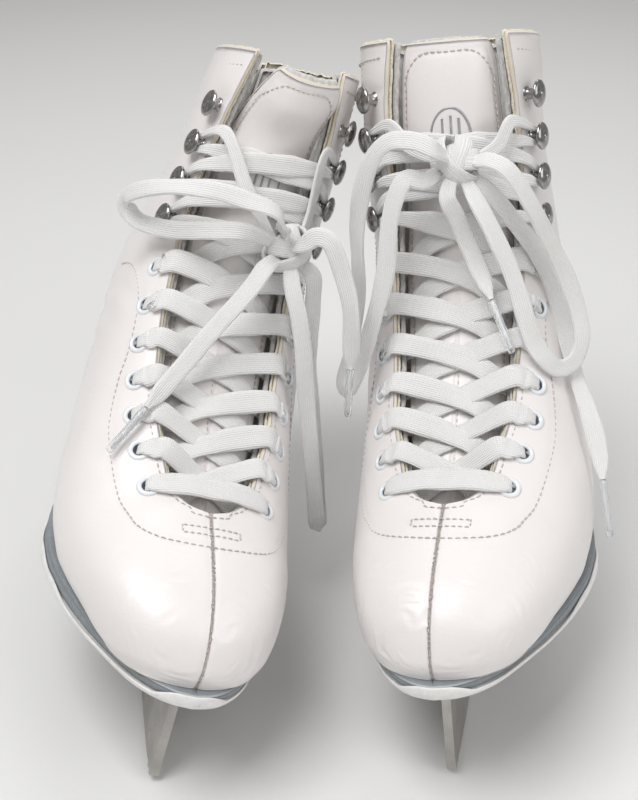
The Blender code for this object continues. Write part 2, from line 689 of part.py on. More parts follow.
def add_sole(skate):
    """Midsole with its heel, outsole, lasting board and insole."""
    front, back = PLAN[0, 0], PLAN[-1, 0]
    stations = [y * SCALE[1] for y in PLAN[:, 0]]
    breast = stations.index(HEEL_FRONT * SCALE[1])
    points, faces = slab(stations, 0.0, lambda y: seat(y) - SOLE_GAP, under)
    add_solid(skate, "midsole", points, faces, "midsole")
    points, faces = slab(stations[:breast], -OUTSOLE_LIP, lambda y: under(y) - OUTSOLE_GAP,
                         lambda y: under(y) - OUTSOLE_GAP - OUTSOLE_THICKNESS)
    add_solid(skate, "outsole", points, faces, "outsole")
    inner = [y for y in stations if front + 20 < y < back - 14]
    points, faces = slab(inner, BOARD_INSET, lambda y: seat(y) + SOLE_GAP + BOARD_THICKNESS,
                         lambda y: seat(y) + SOLE_GAP)
    add_solid(skate, "lasting_board", points, faces, "board")
    points, faces = slab(inner[1:-1], INSOLE_INSET,
                         lambda y: seat(y) + GAP + BOARD_THICKNESS + INSOLE_THICKNESS,
                         lambda y: seat(y) + GAP + BOARD_THICKNESS)
    add_solid(skate, "insole", points, faces, "insole")


def add_blade(skate):
    """Two mounting plates and the blade that stands under them."""
    top = -PLATE_GAP - PLATE_THICKNESS
    for name, plan in (("toe_plate", TOE_PLATE), ("heel_plate", HEEL_PLATE)):
        rows = []
        for y, half in plan:
            y, half = y * SCALE[1], half * SCALE[0]
            rows.append([(half, y, -PLATE_GAP), (-half, y, -PLATE_GAP), (-half, y, top),
                         (half, y, top)])
        points, faces = loft(rows)
        add_solid(skate, name, points, faces, "steel", False)
    outline = [(y * SCALE[1], top - PLATE_GAP if height is None else height - BLADE_HEIGHT)
               for y, height in BLADE]
    rows = [[(side * BLADE_THICKNESS / 2, y, z) for y, z in outline] for side in (1, -1)]
    points, faces = loft(rows)
    add_solid(skate, "blade", points, faces, "steel", False)


def add_hooks(skate):
    """Lacing hooks above the eyelets, beginning with the lowest."""
    for side, word in SIDES.items():
        for count in range(HOOK_COUNT):
            run = level_run(EYELET_COUNT + count)
            here, sideways, _, outward = front_frame(run, side * hole_across(run, side),
                                                     -HOOK_SINK)
            points, faces = turned(HOOK_PROFILE, 8, here, outward, sideways)
            add_solid(skate, f"hook_{word}_{count + 1}", points, faces, "chrome")


def add_tongue(skate, shape):
    """Tongue's leather face and felt pad, which turn together about the tongue's foot."""
    sections = np.concatenate([np.arange(TONGUE_FIRST, TONGUE_LAST - 0.4, 0.62), [TONGUE_LAST]])

    def bend(layer):
        """Leans the free top of the tongue forward."""
        part = np.clip((layer[..., 2] - shape["from"]) / shape["over"], 0.0, 1.0)
        angle = math.radians(shape["lean"]) * part * part * (3 - 2 * part)
        y, z = layer[..., 1] - shape["foot"], layer[..., 2] - shape["from"]
        bent = layer.copy()
        bent[..., 0] = layer[..., 0] - shape["sway"] * part * part
        bent[..., 1] = shape["foot"] + y * np.cos(angle) - z * np.sin(angle)
        bent[..., 2] = shape["from"] + y * np.sin(angle) + z * np.cos(angle)
        return bent

    def half_turn(sections, side):
        return turn_at(sections, np.interp(sections, TONGUE_AT, TONGUE_HALF) * SCALE[0], side, 0.0)

    pivot = worn(skate, on_front(TONGUE_PIVOT_RUN, 0.0, LACE_ROOM + TONGUE_FACE))[0]
    hinge = bpy.data.objects.new(skate["name"] + "tongue_hinge", None)
    bpy.context.scene.collection.objects.link(hinge)
    hinge.parent = skate["frame"]
    hinge.location = pivot * MM
    parent = {"frame": hinge, "centre": pivot}
    pad_top = LACE_ROOM + TONGUE_FACE + TONGUE_GAP
    for name, depths, look in (("tongue_face", (LACE_ROOM, LACE_ROOM + TONGUE_FACE), "leather"),
                               ("tongue_pad", (pad_top, pad_top + TONGUE_PAD), "felt")):
        points, faces = whole_patch(sections, depths, half_turn, TONGUE_COLUMNS, bend)
        add_solid(skate, name, points, faces, look, parent=parent)


def add_lacing(skate, knot):
    """Laced part of the lace, joined to its knot."""
    points, faces = lacing(knot)
    band = add_solid(skate, "lacing", points, faces, "lace")
    here, sideways, along, outward = front_frame(knot["run"], knot["across"], knot["depth"])
    points, faces = ball(here, (sideways, along, outward), KNOT_SIZE, 7, 10)
    lump = add_solid(skate, "knot_lump", points, faces, "lace")
    hide(lump)
    combine(band, lump, "UNION")


def add_free_laces(skate, knot, routes):
    """Two loops and two tails of the bow, and the aglets at the tails' ends."""
    here, *axes = front_frame(knot["run"], knot["across"], knot["depth"])
    centre = in_stance(skate, here)
    axes = [in_stance(skate, here + axis) - centre for axis in axes]

    def leave(towards):
        """Point just off the knot on the way to another point."""
        way = np.array(towards, float) - centre
        way /= np.linalg.norm(way)
        reach = 1 / math.sqrt(sum((way @ axis / size) ** 2 for axis, size in zip(axes, KNOT_SIZE)))
        return centre + way * (reach + KNOT_GAP)

    for name, chosen in routes.items():
        route = [leave(chosen[0]), *np.array(chosen, float)]
        if name.startswith("loop"):
            route.append(leave(chosen[-1]))
        places = add_cord(skate["name"] + name, np.array(route))
        if name.startswith("tail"):
            axis = places[-1] - places[-2]
            axis /= np.linalg.norm(axis)
            across = np.cross(axis, (1.0, 0.0, 0.0))
            across /= np.linalg.norm(across)
            radius = AGLET_DIAMETER / 2
            points, faces = turned(((radius, 0.0), (radius, AGLET_LENGTH)), 8,
                                   places[-1] + axis * AGLET_GAP, axis, across)
            add_mesh(skate["name"] + name.replace("tail", "aglet"), points, faces, "aglet")


def add_cord(name, route):
    """Round cord along a smooth curve through a route; returns the places on it."""
    fine = smooth(route, np.linspace(0.0, len(route) - 1.0, 40 * len(route)))
    run = np.concatenate([[0.0], np.cumsum(np.linalg.norm(np.diff(fine, axis=0), axis=1))])
    stops = np.linspace(0.0, run[-1], round(run[-1] / FREE_STEP) + 1)
    places = np.stack([np.interp(stops, run, fine[:, i]) for i in range(3)], axis=1)
    curve = bpy.data.curves.new(name, "CURVE")
    curve.dimensions = "3D"
    curve.bevel_depth = FREE_LACE / 2 * MM
    curve.bevel_resolution = 2
    curve.use_fill_caps = True
    line = curve.splines.new("POLY")
    line.points.add(len(places) - 1)
    for point, place in zip(line.points, places * MM):
        point.co = (*place, 1.0)
    curve.materials.append(LOOKS["lace"])
    cord = bpy.data.objects.new(name, curve)
    bpy.context.scene.collection.objects.link(cord)
    return places


def add_skate(name, mirror, stance, shaft, tongue, knot, free):
    """One whole skate, standing on its blade's foot."""
    frame = bpy.data.objects.new(name + "frame", None)
    bpy.context.scene.collection.objects.link(frame)
    x, y, yaw, lean = stance
    lift = BLADE_THICKNESS / 2 * abs(math.sin(math.radians(lean)))
    frame.rotation_mode = "XYZ"
    frame.rotation_euler = (0.0, math.radians(lean), math.radians(yaw))
    # The foot of the blade, not the sole, is the point that the stance places
    up = (math.sin(math.radians(lean)) * BLADE_HEIGHT, math.cos(math.radians(lean)) * BLADE_HEIGHT)
    frame.location = ((x + up[0] * math.cos(math.radians(yaw))) * MM,
                      (y + up[0] * math.sin(math.radians(yaw))) * MM, (up[1] + lift) * MM)
    skate = {"name": name, "mirror": mirror, "frame": frame, "shaft": shaft}
    add_upper(skate)
    add_stiffeners(skate)
    add_sole(skate)
    add_blade(skate)
    add_hooks(skate)
    add_tongue(skate, tongue)
    add_lacing(skate, knot)
    add_free_laces(skate, knot, free)


for old in list(bpy.data.objects):
    bpy.data.objects.remove(old)

LOOKS = {
    "leather": make_material("white_leather", (0.86, 0.82, 0.80), 0.42),
    "felt": make_material("grey_felt", (0.62, 0.61, 0.59), 0.95),
    "board": make_material("fibre_board", (0.55, 0.42, 0.28), 0.9),
    "midsole": make_material("grey_sole", (0.42, 0.45, 0.48), 0.55),
    "outsole": make_material("white_sole", (0.85, 0.84, 0.82), 0.5),
    "insole": make_material("cotton_insole", (0.70, 0.69, 0.66), 0.9),
    "steel": make_material("blade_steel", (0.55, 0.53, 0.50), 0.35, 1.0),
    "chrome": make_material("hook_chrome", (0.45, 0.44, 0.43), 0.2, 1.0),
    "lace": make_material("white_cotton", (0.92, 0.92, 0.92), 0.85),
    "aglet": make_material("clear_aglet", (0.85, 0.86, 0.88), 0.2),
}

add_skate("left_", 1, LEFT_STANCE, LEFT_SHAFT, LEFT_TONGUE, LEFT_KNOT, LEFT_FREE)
add_skate("right_", -1, RIGHT_STANCE, RIGHT_SHAFT, RIGHT_TONGUE, RIGHT_KNOT, RIGHT_FREE)
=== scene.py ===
import math
import bpy
import numpy as np
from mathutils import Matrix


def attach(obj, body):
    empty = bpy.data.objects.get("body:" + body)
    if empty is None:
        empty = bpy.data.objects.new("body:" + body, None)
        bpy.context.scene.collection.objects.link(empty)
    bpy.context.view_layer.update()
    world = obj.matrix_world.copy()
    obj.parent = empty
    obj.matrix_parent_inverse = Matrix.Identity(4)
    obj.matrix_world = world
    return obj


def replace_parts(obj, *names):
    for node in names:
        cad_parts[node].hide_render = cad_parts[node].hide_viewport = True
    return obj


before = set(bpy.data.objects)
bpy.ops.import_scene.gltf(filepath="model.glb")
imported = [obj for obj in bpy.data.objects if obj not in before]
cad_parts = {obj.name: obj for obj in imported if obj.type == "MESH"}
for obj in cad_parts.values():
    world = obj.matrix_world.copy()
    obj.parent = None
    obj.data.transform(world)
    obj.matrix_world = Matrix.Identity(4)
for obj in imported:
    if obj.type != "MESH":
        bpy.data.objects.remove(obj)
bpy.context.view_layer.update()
mm = 0.001
print("frame loaded")

# camera: place in m, degrees it looks down, lens in mm; lamps: place in m, power in W, size in m
view = {"place": (-0.0023, -0.4948, 0.415), "pitch": 31.0, "lens": 56.07}
light = {"key": (-0.40, -0.35, 1.3, 11.5, 0.75), "fill": (0.8, -0.6, 0.75, 3.4, 0.8),
         "back": (0.1, 0.9, 1.1, 4.0, 0.8), "world": 0.34}


def makeView():
    camera = bpy.data.objects.new("camera", bpy.data.cameras.new("camera"))
    bpy.context.scene.collection.objects.link(camera)
    camera.location = view["place"]
    camera.rotation_euler = (math.radians(90 - view["pitch"]), 0, 0)
    camera.data.lens, camera.data.sensor_width = view["lens"], 36.0
    bpy.context.scene.camera = camera
    for name in ("key", "fill", "back"):
        x, y, z, power, size = light[name]
        lamp = bpy.data.objects.new(name, bpy.data.lights.new(name, "AREA"))
        lamp.data.energy, lamp.data.size = power, size
        lamp.location = (x, y, z)
        away = np.array((x, y, z - 0.12))
        away = away / np.linalg.norm(away)
        lamp.rotation_euler = (math.acos(away[2]), 0, math.atan2(away[1], away[0]) + math.pi / 2)
        bpy.context.scene.collection.objects.link(lamp)
    world = bpy.data.worlds.new("studio")
    bpy.context.scene.world = world
    world.use_nodes = True
    back = world.node_tree.nodes["Background"]
    back.inputs["Color"].default_value = (1.0, 0.985, 0.97, 1)
    back.inputs["Strength"].default_value = light["world"]
    bpy.context.scene.view_settings.view_transform = "Standard"


makeView()


class Signal:
    # one value on its way to the shader; sums on it add Math nodes
    def __init__(self, paint, socket):
        self.paint, self.socket = paint, socket

    def math(self, operation, *others):
        return self.paint.node("ShaderNodeMath", {"operation": operation}, dict(enumerate((self,) + others)))

    def __add__(self, other):
        return self.math("ADD", other)

    def __sub__(self, other):
        return self.math("SUBTRACT", other)

    def __mul__(self, other):
        return self.math("MULTIPLY", other)

    def __rsub__(self, other):
        return self.paint.node("ShaderNodeMath", {"operation": "SUBTRACT"}, {0: other, 1: self})

    __radd__ = __add__
    __rmul__ = __mul__

    def step(self, low, high):
        # 0 below low, 1 above high, smooth between
        return self.paint.node("ShaderNodeMapRange", {"interpolation_type": "SMOOTHSTEP"},
                               {0: self, 1: low, 2: high})


class Paint:
    # a material being mixed for one finish
    def __init__(self, name, colour, roughness, **constants):
        self.material = bpy.data.materials.new(name)
        self.material.use_nodes = True
        self.tree = self.material.node_tree
        self.shader = self.tree.nodes["Principled BSDF"]
        self.place = None
        self.set("Base Color", (*colour, 1))
        self.set("Roughness", roughness)
        for socket, value in constants.items():
            self.set(socket.replace("_", " "), value)

    def set(self, socket, value):
        if isinstance(value, Signal):
            self.tree.links.new(value.socket, self.shader.inputs[socket])
        else:
            self.shader.inputs[socket].default_value = value

    def node(self, kind, settings, sockets, output=0):
        made = self.tree.nodes.new(kind)
        for name, value in settings.items():
            if name == "stops":
                ramp = made.color_ramp.elements
                while len(ramp) < len(value):
                    ramp.new(0.5)
                for element, (at, colour) in zip(ramp, value):
                    element.position, element.color = at, (*colour, 1)
            else:
                setattr(made, name, value)
        for key, value in sockets.items():
            if isinstance(value, Signal):
                self.tree.links.new(value.socket, made.inputs[key])
            else:
                made.inputs[key].default_value = value
        return Signal(self, made.outputs[output])

    def coordinates(self, scale=(1, 1, 1)):
        if self.place is None:
            self.place = self.node("ShaderNodeTexCoord", {}, {}, "Object")
        if scale == (1, 1, 1):
            return self.place
        return self.node("ShaderNodeMapping", {}, {"Vector": self.place, "Scale": scale})

    def attribute(self, name, output="Fac"):
        return self.node("ShaderNodeAttribute", {"attribute_name": name}, {}, output)

    def part(self, vector, axis):
        return self.node("ShaderNodeSeparateXYZ", {}, {0: vector}, axis)

    def noise(self, scale, detail=3.0, rough=0.55, at=None, output="Fac"):
        at = self.coordinates() if at is None else at
        return self.node("ShaderNodeTexNoise", {}, {"Vector": at, "Scale": scale, "Detail": detail,
                                                    "Roughness": rough}, output)

    def cells(self, scale, feature="F1", at=None, output="Distance"):
        at = self.coordinates() if at is None else at
        return self.node("ShaderNodeTexVoronoi", {"feature": feature}, {"Vector": at, "Scale": scale}, output)

    def blendColour(self, mask, first, second):
        rgba = [value if isinstance(value, Signal) else (*value, 1) for value in (first, second)]
        return self.node("ShaderNodeMix", {"data_type": "RGBA"}, {0: mask, 6: rgba[0], 7: rgba[1]}, 2)

    def bump(self, height, distance, strength=1.0, under=None):
        sockets = {"Height": height, "Distance": distance, "Strength": strength}
        if under is not None:
            sockets["Normal"] = under
        return self.node("ShaderNodeBump", {}, sockets)


def whiteLeather():
    # pinkish white coated leather: fine pores, faint creases, grubby where wear is high, cream cut edge
    paint = Paint("whiteLeather", (0.86, 0.825, 0.815), 0.36, Coat_Weight=0.18, Coat_Roughness=0.22,
                  Specular_IOR_Level=0.5, Sheen_Weight=0.05)
    wear, edge = paint.attribute("wear"), paint.attribute("edge")
    broad = paint.noise(14, 4)
    pores = paint.cells(900)
    creases = paint.noise(160, 6, 0.65)
    colour = paint.blendColour(broad.step(0.35, 0.7), (0.875, 0.84, 0.83), (0.845, 0.805, 0.795))
    specks = paint.noise(230, 5, 0.7).step(0.56, 0.68) * wear.step(0.25, 0.95)
    colour = paint.blendColour(specks * 0.75, colour, (0.16, 0.15, 0.15))
    haze = paint.noise(45, 4).step(0.4, 0.75) * wear.step(0.1, 1.0)
    colour = paint.blendColour(haze * 0.4, colour, (0.52, 0.47, 0.42))
    colour = paint.blendColour(edge.step(0.3, 0.7), colour, (0.74, 0.66, 0.53))
    paint.set("Base Color", colour)
    paint.set("Roughness", 0.31 + broad * 0.12 + haze * 0.2 + edge * 0.4)
    fine = paint.bump(pores, 0.00012, 0.35)
    paint.set("Normal", paint.bump(creases + broad * 2.0, 0.0003, 0.3, fine))
    return paint.material


def greyFelt():
    # pressed lining felt: matted fibres in two tones
    paint = Paint("greyFelt", (0.55, 0.54, 0.52), 0.95, Sheen_Weight=0.35, Sheen_Roughness=0.6)
    long = paint.noise(700, 4, 0.7, paint.coordinates((1, 1, 0.35)))
    broad = paint.noise(60, 3)
    colour = paint.blendColour(long.step(0.35, 0.65), (0.45, 0.44, 0.43), (0.68, 0.665, 0.64))
    paint.set("Base Color", paint.blendColour(broad.step(0.45, 0.8) * 0.5, colour, (0.74, 0.73, 0.70)))
    paint.set("Normal", paint.bump(long + broad, 0.0008, 0.6))
    return paint.material


def creamCanvas():
    # raw backing cloth at the cut edges, with loose threads
    paint = Paint("creamCanvas", (0.80, 0.73, 0.60), 0.9, Sheen_Weight=0.2)
    threads = paint.noise(1500, 3, 0.6, paint.coordinates((1, 0.3, 1)))
    colour = paint.blendColour(threads.step(0.3, 0.7), (0.66, 0.58, 0.45), (0.88, 0.83, 0.73))
    paint.set("Base Color", colour)
    paint.set("Normal", paint.bump(threads, 0.0005, 0.7))
    return paint.material


def cottonLace():
    # tubular flat weave: ribs along the lace, small picks across it, read from the flat coordinates; painted
    # shade darkens the hollows between the ribs
    paint = Paint("cottonLace", (0.90, 0.895, 0.885), 0.9, Sheen_Weight=0.3, Sheen_Roughness=0.5)
    flat = paint.attribute("flat", "Vector")
    across, along = paint.part(flat, "X"), paint.part(flat, "Y")
    ribs = (across * (2 * math.pi / 0.95)).math("SINE")
    picks = (along * (2 * math.pi / 0.8) + ribs * 1.4).math("SINE")
    fuzz = paint.noise(1400, 3, 0.7)
    grime = paint.noise(60, 4).step(0.5, 0.85)
    # painted shade: darker in the hollows between the ribs and lighter on their crests; the fuzz adds random
    # tone
    ribShadeAndFuzz = (ribs * 0.5 + 0.5) * 0.35 + fuzz * 0.3
    colour = paint.blendColour(ribShadeAndFuzz, (0.80, 0.795, 0.79), (0.95, 0.945, 0.935))
    paint.set("Base Color", paint.blendColour(grime * 0.3, colour, (0.74, 0.72, 0.69)))
    paint.set("Normal", paint.bump(ribs * 0.6 + picks * 0.35 + fuzz * 0.8, 0.00022, 0.75))
    return paint.material


def threadPaint():
    # waxed greyish sewing thread
    paint = Paint("sewingThread", (0.58, 0.52, 0.49), 0.7)
    twist = paint.noise(2500, 2)
    paint.set("Base Color", paint.blendColour(twist.step(0.3, 0.7), (0.46, 0.40, 0.375), (0.72, 0.66, 0.62)))
    paint.set("Normal", paint.bump(twist, 0.0002, 0.5))
    return paint.material


def soleGrey():
    # moulded blue-grey sole: faint mould lines, rubbed and scuffed
    paint = Paint("soleGrey", (0.24, 0.27, 0.29), 0.45)
    grain = paint.noise(420, 4)
    scuff = paint.noise(90, 6, 0.7, paint.coordinates((1, 1, 3))).step(0.56, 0.72)
    wear = paint.attribute("wear")
    colour = paint.blendColour(grain.step(0.35, 0.7), (0.225, 0.25, 0.27), (0.262, 0.288, 0.31))
    colour = paint.blendColour(scuff * 0.22, colour, (0.40, 0.42, 0.43))
    paint.set("Base Color", paint.blendColour(wear.step(0.4, 0.9) * 0.8, colour, (0.55, 0.57, 0.58)))
    paint.set("Roughness", 0.42 + scuff * 0.25 + grain * 0.08)
    paint.set("Normal", paint.bump(grain + scuff * 0.5, 0.0003, 0.5))
    return paint.material


def soleWhite():
    # white edge of the outsole, a little chalky, with patches of dirt
    paint = Paint("soleWhite", (0.84, 0.83, 0.81), 0.4)
    grain = paint.noise(300, 5, 0.65)
    dirt = paint.noise(120, 6, 0.7).step(0.58, 0.74)
    colour = paint.blendColour(grain.step(0.3, 0.7), (0.80, 0.79, 0.77), (0.88, 0.87, 0.86))
    paint.set("Base Color", paint.blendColour(dirt * 0.55, colour, (0.42, 0.40, 0.38)))
    paint.set("Roughness", 0.36 + dirt * 0.3)
    paint.set("Normal", paint.bump(grain, 0.0003, 0.4))
    return paint.material


def bladeSteel():
    # dull plated steel: long scratches, brown specks in patches
    paint = Paint("bladeSteel", (0.42, 0.40, 0.375), 0.36, Metallic=1.0)
    lines = paint.noise(60, 5, 0.7, paint.coordinates((1, 1, 14)))
    cloud = paint.noise(35, 5, 0.65)
    rust = paint.noise(260, 5, 0.7).step(0.6, 0.74) * cloud.step(0.45, 0.7)
    colour = paint.blendColour(cloud.step(0.3, 0.75), (0.36, 0.34, 0.32), (0.55, 0.53, 0.50))
    paint.set("Base Color", paint.blendColour(rust * 0.8, colour, (0.20, 0.13, 0.08)))
    paint.set("Roughness", 0.24 + lines * 0.22 + rust * 0.3)
    paint.set("Metallic", 1 - rust * 0.5)
    paint.set("Normal", paint.bump(lines, 0.00025, 0.4))
    return paint.material


def hookChrome():
    # dark nickel plating, finely polished
    paint = Paint("hookChrome", (0.40, 0.39, 0.38), 0.16, Metallic=1.0)
    cloud = paint.noise(500, 4)
    paint.set("Base Color", paint.blendColour(cloud.step(0.3, 0.8), (0.30, 0.29, 0.285), (0.52, 0.51, 0.50)))
    paint.set("Roughness", 0.12 + cloud * 0.12)
    return paint.material


def enamel():
    # white enamelled brass, bluish in its well, with painted shade: near black over the well's floor where
    # the hole would be
    paint = Paint("eyeletEnamel", (0.80, 0.84, 0.88), 0.22, Coat_Weight=0.4)
    well, chips = paint.attribute("edge"), paint.noise(900, 3).step(0.66, 0.72)
    colour = paint.blendColour(well.step(0.2, 0.6), (0.84, 0.86, 0.88), (0.50, 0.60, 0.72))
    colour = paint.blendColour(chips * 0.6, colour, (0.62, 0.55, 0.42))
    # painted shade: the well's floor is painted near black for the shade down the eyelet's hole
    paint.set("Base Color", paint.blendColour(well.step(0.8, 0.95), colour, (0.05, 0.05, 0.06)))
    paint.set("Roughness", 0.2 + chips * 0.4)
    return paint.material


def clearAglet():
    # wrapped clear film, a bit milky
    paint = Paint("clearAglet", (0.93, 0.95, 0.97), 0.12, Transmission_Weight=0.85, IOR=1.3)
    haze = paint.noise(400, 4)
    paint.set("Roughness", 0.08 + haze * 0.2)
    paint.set("Normal", paint.bump(haze, 0.0003, 0.3))
    return paint.material


def greyFoil():
    # silver-grey print of the tongue mark, rubbed thin in places
    paint = Paint("greyFoil", (0.45, 0.46, 0.48), 0.35, Metallic=0.4)
    rub = paint.noise(600, 4).step(0.5, 0.8)
    paint.set("Base Color", paint.blendColour(rub, (0.40, 0.41, 0.43), (0.62, 0.62, 0.62)))
    paint.set("Roughness", 0.3 + rub * 0.3)
    return paint.material


def fibreBoard():
    paint = Paint("fibreBoard", (0.55, 0.42, 0.28), 0.9)
    fibres = paint.noise(500, 5, 0.7, paint.coordinates((1, 0.3, 1)))
    paint.set("Base Color", paint.blendColour(fibres.step(0.3, 0.7), (0.42, 0.31, 0.2), (0.64, 0.5, 0.35)))
    paint.set("Normal", paint.bump(fibres, 0.0004, 0.5))
    return paint.material


def cottonInsole():
    paint = Paint("cottonInsole", (0.66, 0.65, 0.62), 0.95, Sheen_Weight=0.2)
    weave = paint.cells(1400)
    stain = paint.noise(30, 4).step(0.45, 0.75)
    colour = paint.blendColour(weave.step(0.1, 0.6), (0.74, 0.73, 0.70), (0.56, 0.55, 0.53))
    paint.set("Base Color", paint.blendColour(stain * 0.5, colour, (0.48, 0.44, 0.38)))
    paint.set("Normal", paint.bump(weave, 0.0004, 0.6))
    return paint.material


def paleFloor():
    paint = Paint("paleFloor", (0.80, 0.80, 0.80), 0.6)
    soft = paint.noise(2.5, 3)
    paint.set("Base Color", paint.blendColour(soft, (0.78, 0.78, 0.775), (0.82, 0.82, 0.815)))
    return paint.material


finish = {"leather": whiteLeather(), "felt": greyFelt(), "canvas": creamCanvas(), "lace": cottonLace(),
          "thread": threadPaint(), "midsole": soleGrey(), "outsole": soleWhite(), "steel": bladeSteel(),
          "chrome": hookChrome(), "enamel": enamel(), "aglet": clearAglet(), "foil": greyFoil(),
          "board": fibreBoard(), "insole": cottonInsole(), "floor": paleFloor()}
print("materials mixed")

# Each row: top y z, bottom y z, half width outer and inner, half width of the flat bottom outer and
# inner, height share of the widest point, squareness of the upper half. In mm, from the toe upwards.
boot = {
    "rows": np.array([
        (0.0, 18.0, 38.0, 13.0, 36.5, 31.5, 35.9, 30.9, 0.03, 2.15),
        (-1.5, 28.0, 44.0, 13.0, 41.0, 34.5, 39.2, 33.2, 0.08, 2.15),
        (5.0, 41.0, 50.0, 13.0, 45.0, 37.0, 42.0, 34.5, 0.15, 2.20),
        (20.0, 51.0, 57.0, 13.0, 49.5, 39.5, 46.0, 36.0, 0.22, 2.25),
        (42.0, 57.0, 66.0, 13.0, 53.5, 42.0, 49.5, 37.5, 0.27, 2.25),
        (66.0, 62.0, 79.0, 13.0, 57.0, 44.0, 52.5, 39.0, 0.28, 2.15),
        (91.0, 77.0, 103.0, 14.5, 59.5, 46.0, 53.0, 39.0, 0.27, 2.05),
        (115.0, 96.0, 134.0, 22.0, 57.0, 48.0, 45.0, 36.0, 0.26, 2.00),
        (134.0, 118.0, 170.0, 37.0, 52.5, 49.0, 35.0, 32.0, 0.27, 2.05),
        (144.0, 137.0, 205.0, 48.0, 48.5, 49.5, 32.0, 31.0, 0.30, 2.10),
        (148.0, 149.0, 234.0, 51.0, 45.5, 49.0, 31.0, 30.0, 0.33, 2.15),
        (151.0, 158.0, 253.0, 52.0, 43.5, 48.5, 20.0, 19.5, 0.36, 2.20),
        (153.0, 166.0, 263.0, 60.0, 42.0, 48.0, 1.0, 1.0, 0.42, 2.20),
        (156.0, 176.0, 265.5, 82.0, 40.0, 47.5, 1.0, 1.0, 0.48, 2.20),
        (159.0, 187.0, 260.0, 110.0, 38.0, 47.0, 1.0, 1.0, 0.50, 2.20),
        (162.0, 199.0, 254.5, 138.0, 36.5, 46.5, 1.0, 1.0, 0.50, 2.20),
        (166.0, 212.0, 254.0, 168.0, 36.0, 45.5, 1.0, 1.0, 0.50, 2.25),
        (171.0, 226.0, 258.0, 200.0, 35.8, 45.0, 1.0, 1.0, 0.50, 2.30)]),
    "lowSquareness": 2.2, "throat": 4.78, "throatRound": 0.62,
    "throatAt": (5.0, 5.9, 6.5, 8.0, 10.0, 14.0, 15.5, 17.0),
    "throatHalf": (16.5, 22.5, 26.5, 29.0, 30.0, 29.5, 28.5, 25.5),
    "holeAt": (11.0, 12.0, 17.0), "holeIn": (9.5, 8.5, 8.0),
    "wall": 7.6, "leather": 1.8, "height": 226.0, "seam": 0.2, "blade": 50.0, "bladeHalf": 2.0,
}
skates = {
    "left": {"mirror": 1, "foot": (51.7, -132.8), "yaw": -12.5, "lean": -8.0,
             "shaft": {"from": 100.0, "narrow": 0.0, "sway": 0.0},
             "tongue": {"from": 150.0, "over": 60.0, "foot": 158.0, "lean": 2.0, "sway": 0.0},
             "knot": {"run": 154.0, "across": 3.0, "depth": -6.5}},
    "right": {"mirror": -1, "foot": (-71.3, -136.8), "yaw": 9.5, "lean": 18.0,
              "shaft": {"from": 100.0, "narrow": 0.22, "sway": 8.0},
              "tongue": {"from": 178.0, "over": 32.0, "foot": 172.0, "lean": 28.0, "sway": 3.0},
              "knot": {"run": 128.0, "across": -17.0, "depth": -6.5}},
}
last = len(boot["rows"]) - 1


def smoothRows(table, at):
    # cubic through the rows of a table at whole numbers, straight beyond its ends
    at = np.asarray(at, float)
    table = np.vstack([2 * table[0] - table[1], table, 2 * table[-1] - table[-2]])
    inside = np.clip(at, 0.0, len(table) - 3.0)
    low = np.minimum(np.floor(inside).astype(int), len(table) - 4)
    part = (inside - low)[..., None]
    before, first, second, after = (table[low + i] for i in range(4))
    value = first + 0.5 * part * (second - before + part * (
        2 * before - 5 * first + 4 * second - after + part * (3 * (first - second) + after - before)))
    beyond = (at - inside)[..., None]
    return value + beyond * np.where(beyond > 0, table[-2] - table[-3], table[2] - table[1])


def skin(section, turn, depth=0.0):
    # a point of the boot: turn is 0 on the ridge and pi at the sole, negative on the inner side
    section, turn, depth = np.broadcast_arrays(np.asarray(section, float), np.asarray(turn, float),
                                               np.asarray(depth, float))
    row = smoothRows(boot["rows"], section)
    side = np.where(turn >= 0, 1.0, -1.0)
    outer, turn = side > 0, np.clip(np.abs(turn), 0.0, math.pi)
    wide = np.where(outer, row[..., 4], row[..., 5]) - depth
    flat = np.maximum(np.where(outer, row[..., 6], row[..., 7]) - depth, 1.0)
    down = row[..., 2:4] - row[..., 0:2]
    length = np.linalg.norm(down, axis=-1)
    body = length - 2 * depth
    hip = row[..., 8] * body
    top, low = 2 / row[..., 9], 2 / boot["lowSquareness"]
    sine, cosine = np.sin(turn), np.cos(turn)
    sine = np.maximum(sine, 0.0)
    across = np.where(cosine >= 0, wide * sine ** top, flat + (wide - flat) * sine ** low)
    rise = np.where(cosine >= 0, hip + (body - hip) * np.abs(cosine) ** top,
                    hip * (1 - np.abs(cosine) ** low))
    place = row[..., 2:4] - down * ((rise + depth) / length)[..., None]
    return np.stack([side * across, place[..., 0], place[..., 1]], axis=-1)


def throatHalf(section):
    # half width of the opening, a quarter of an ellipse at its foot
    part = np.clip((np.asarray(section, float) - boot["throat"]) / boot["throatRound"], 0.0, 1.0)
    half = np.interp(section, boot["throatAt"], boot["throatHalf"])
    return boot["seam"] + half * np.sqrt(1 - (1 - part) ** 2)


def turnAt(section, across):
    # turn at which the upper half of a section is this far from the middle
    row = smoothRows(boot["rows"], section)
    side = np.where(np.asarray(across) >= 0, 1.0, -1.0)
    wide = np.where(side > 0, row[..., 4], row[..., 5])
    return side * np.arcsin(np.clip(np.abs(across) / wide, 0.0, 0.985) ** (row[..., 9] / 2))


fine = np.linspace(-0.2, last + 1.5, 700)
ridge = smoothRows(boot["rows"], fine)[:, 0:2]
ridgeRun = np.concatenate([[0.0], np.cumsum(np.linalg.norm(np.diff(ridge, axis=0), axis=1))])
ridgeRun -= np.interp(boot["throat"], fine, ridgeRun)


def sectionAt(run):
    # section at a distance up the ridge from the foot of the opening
    return np.interp(run, ridgeRun, fine)


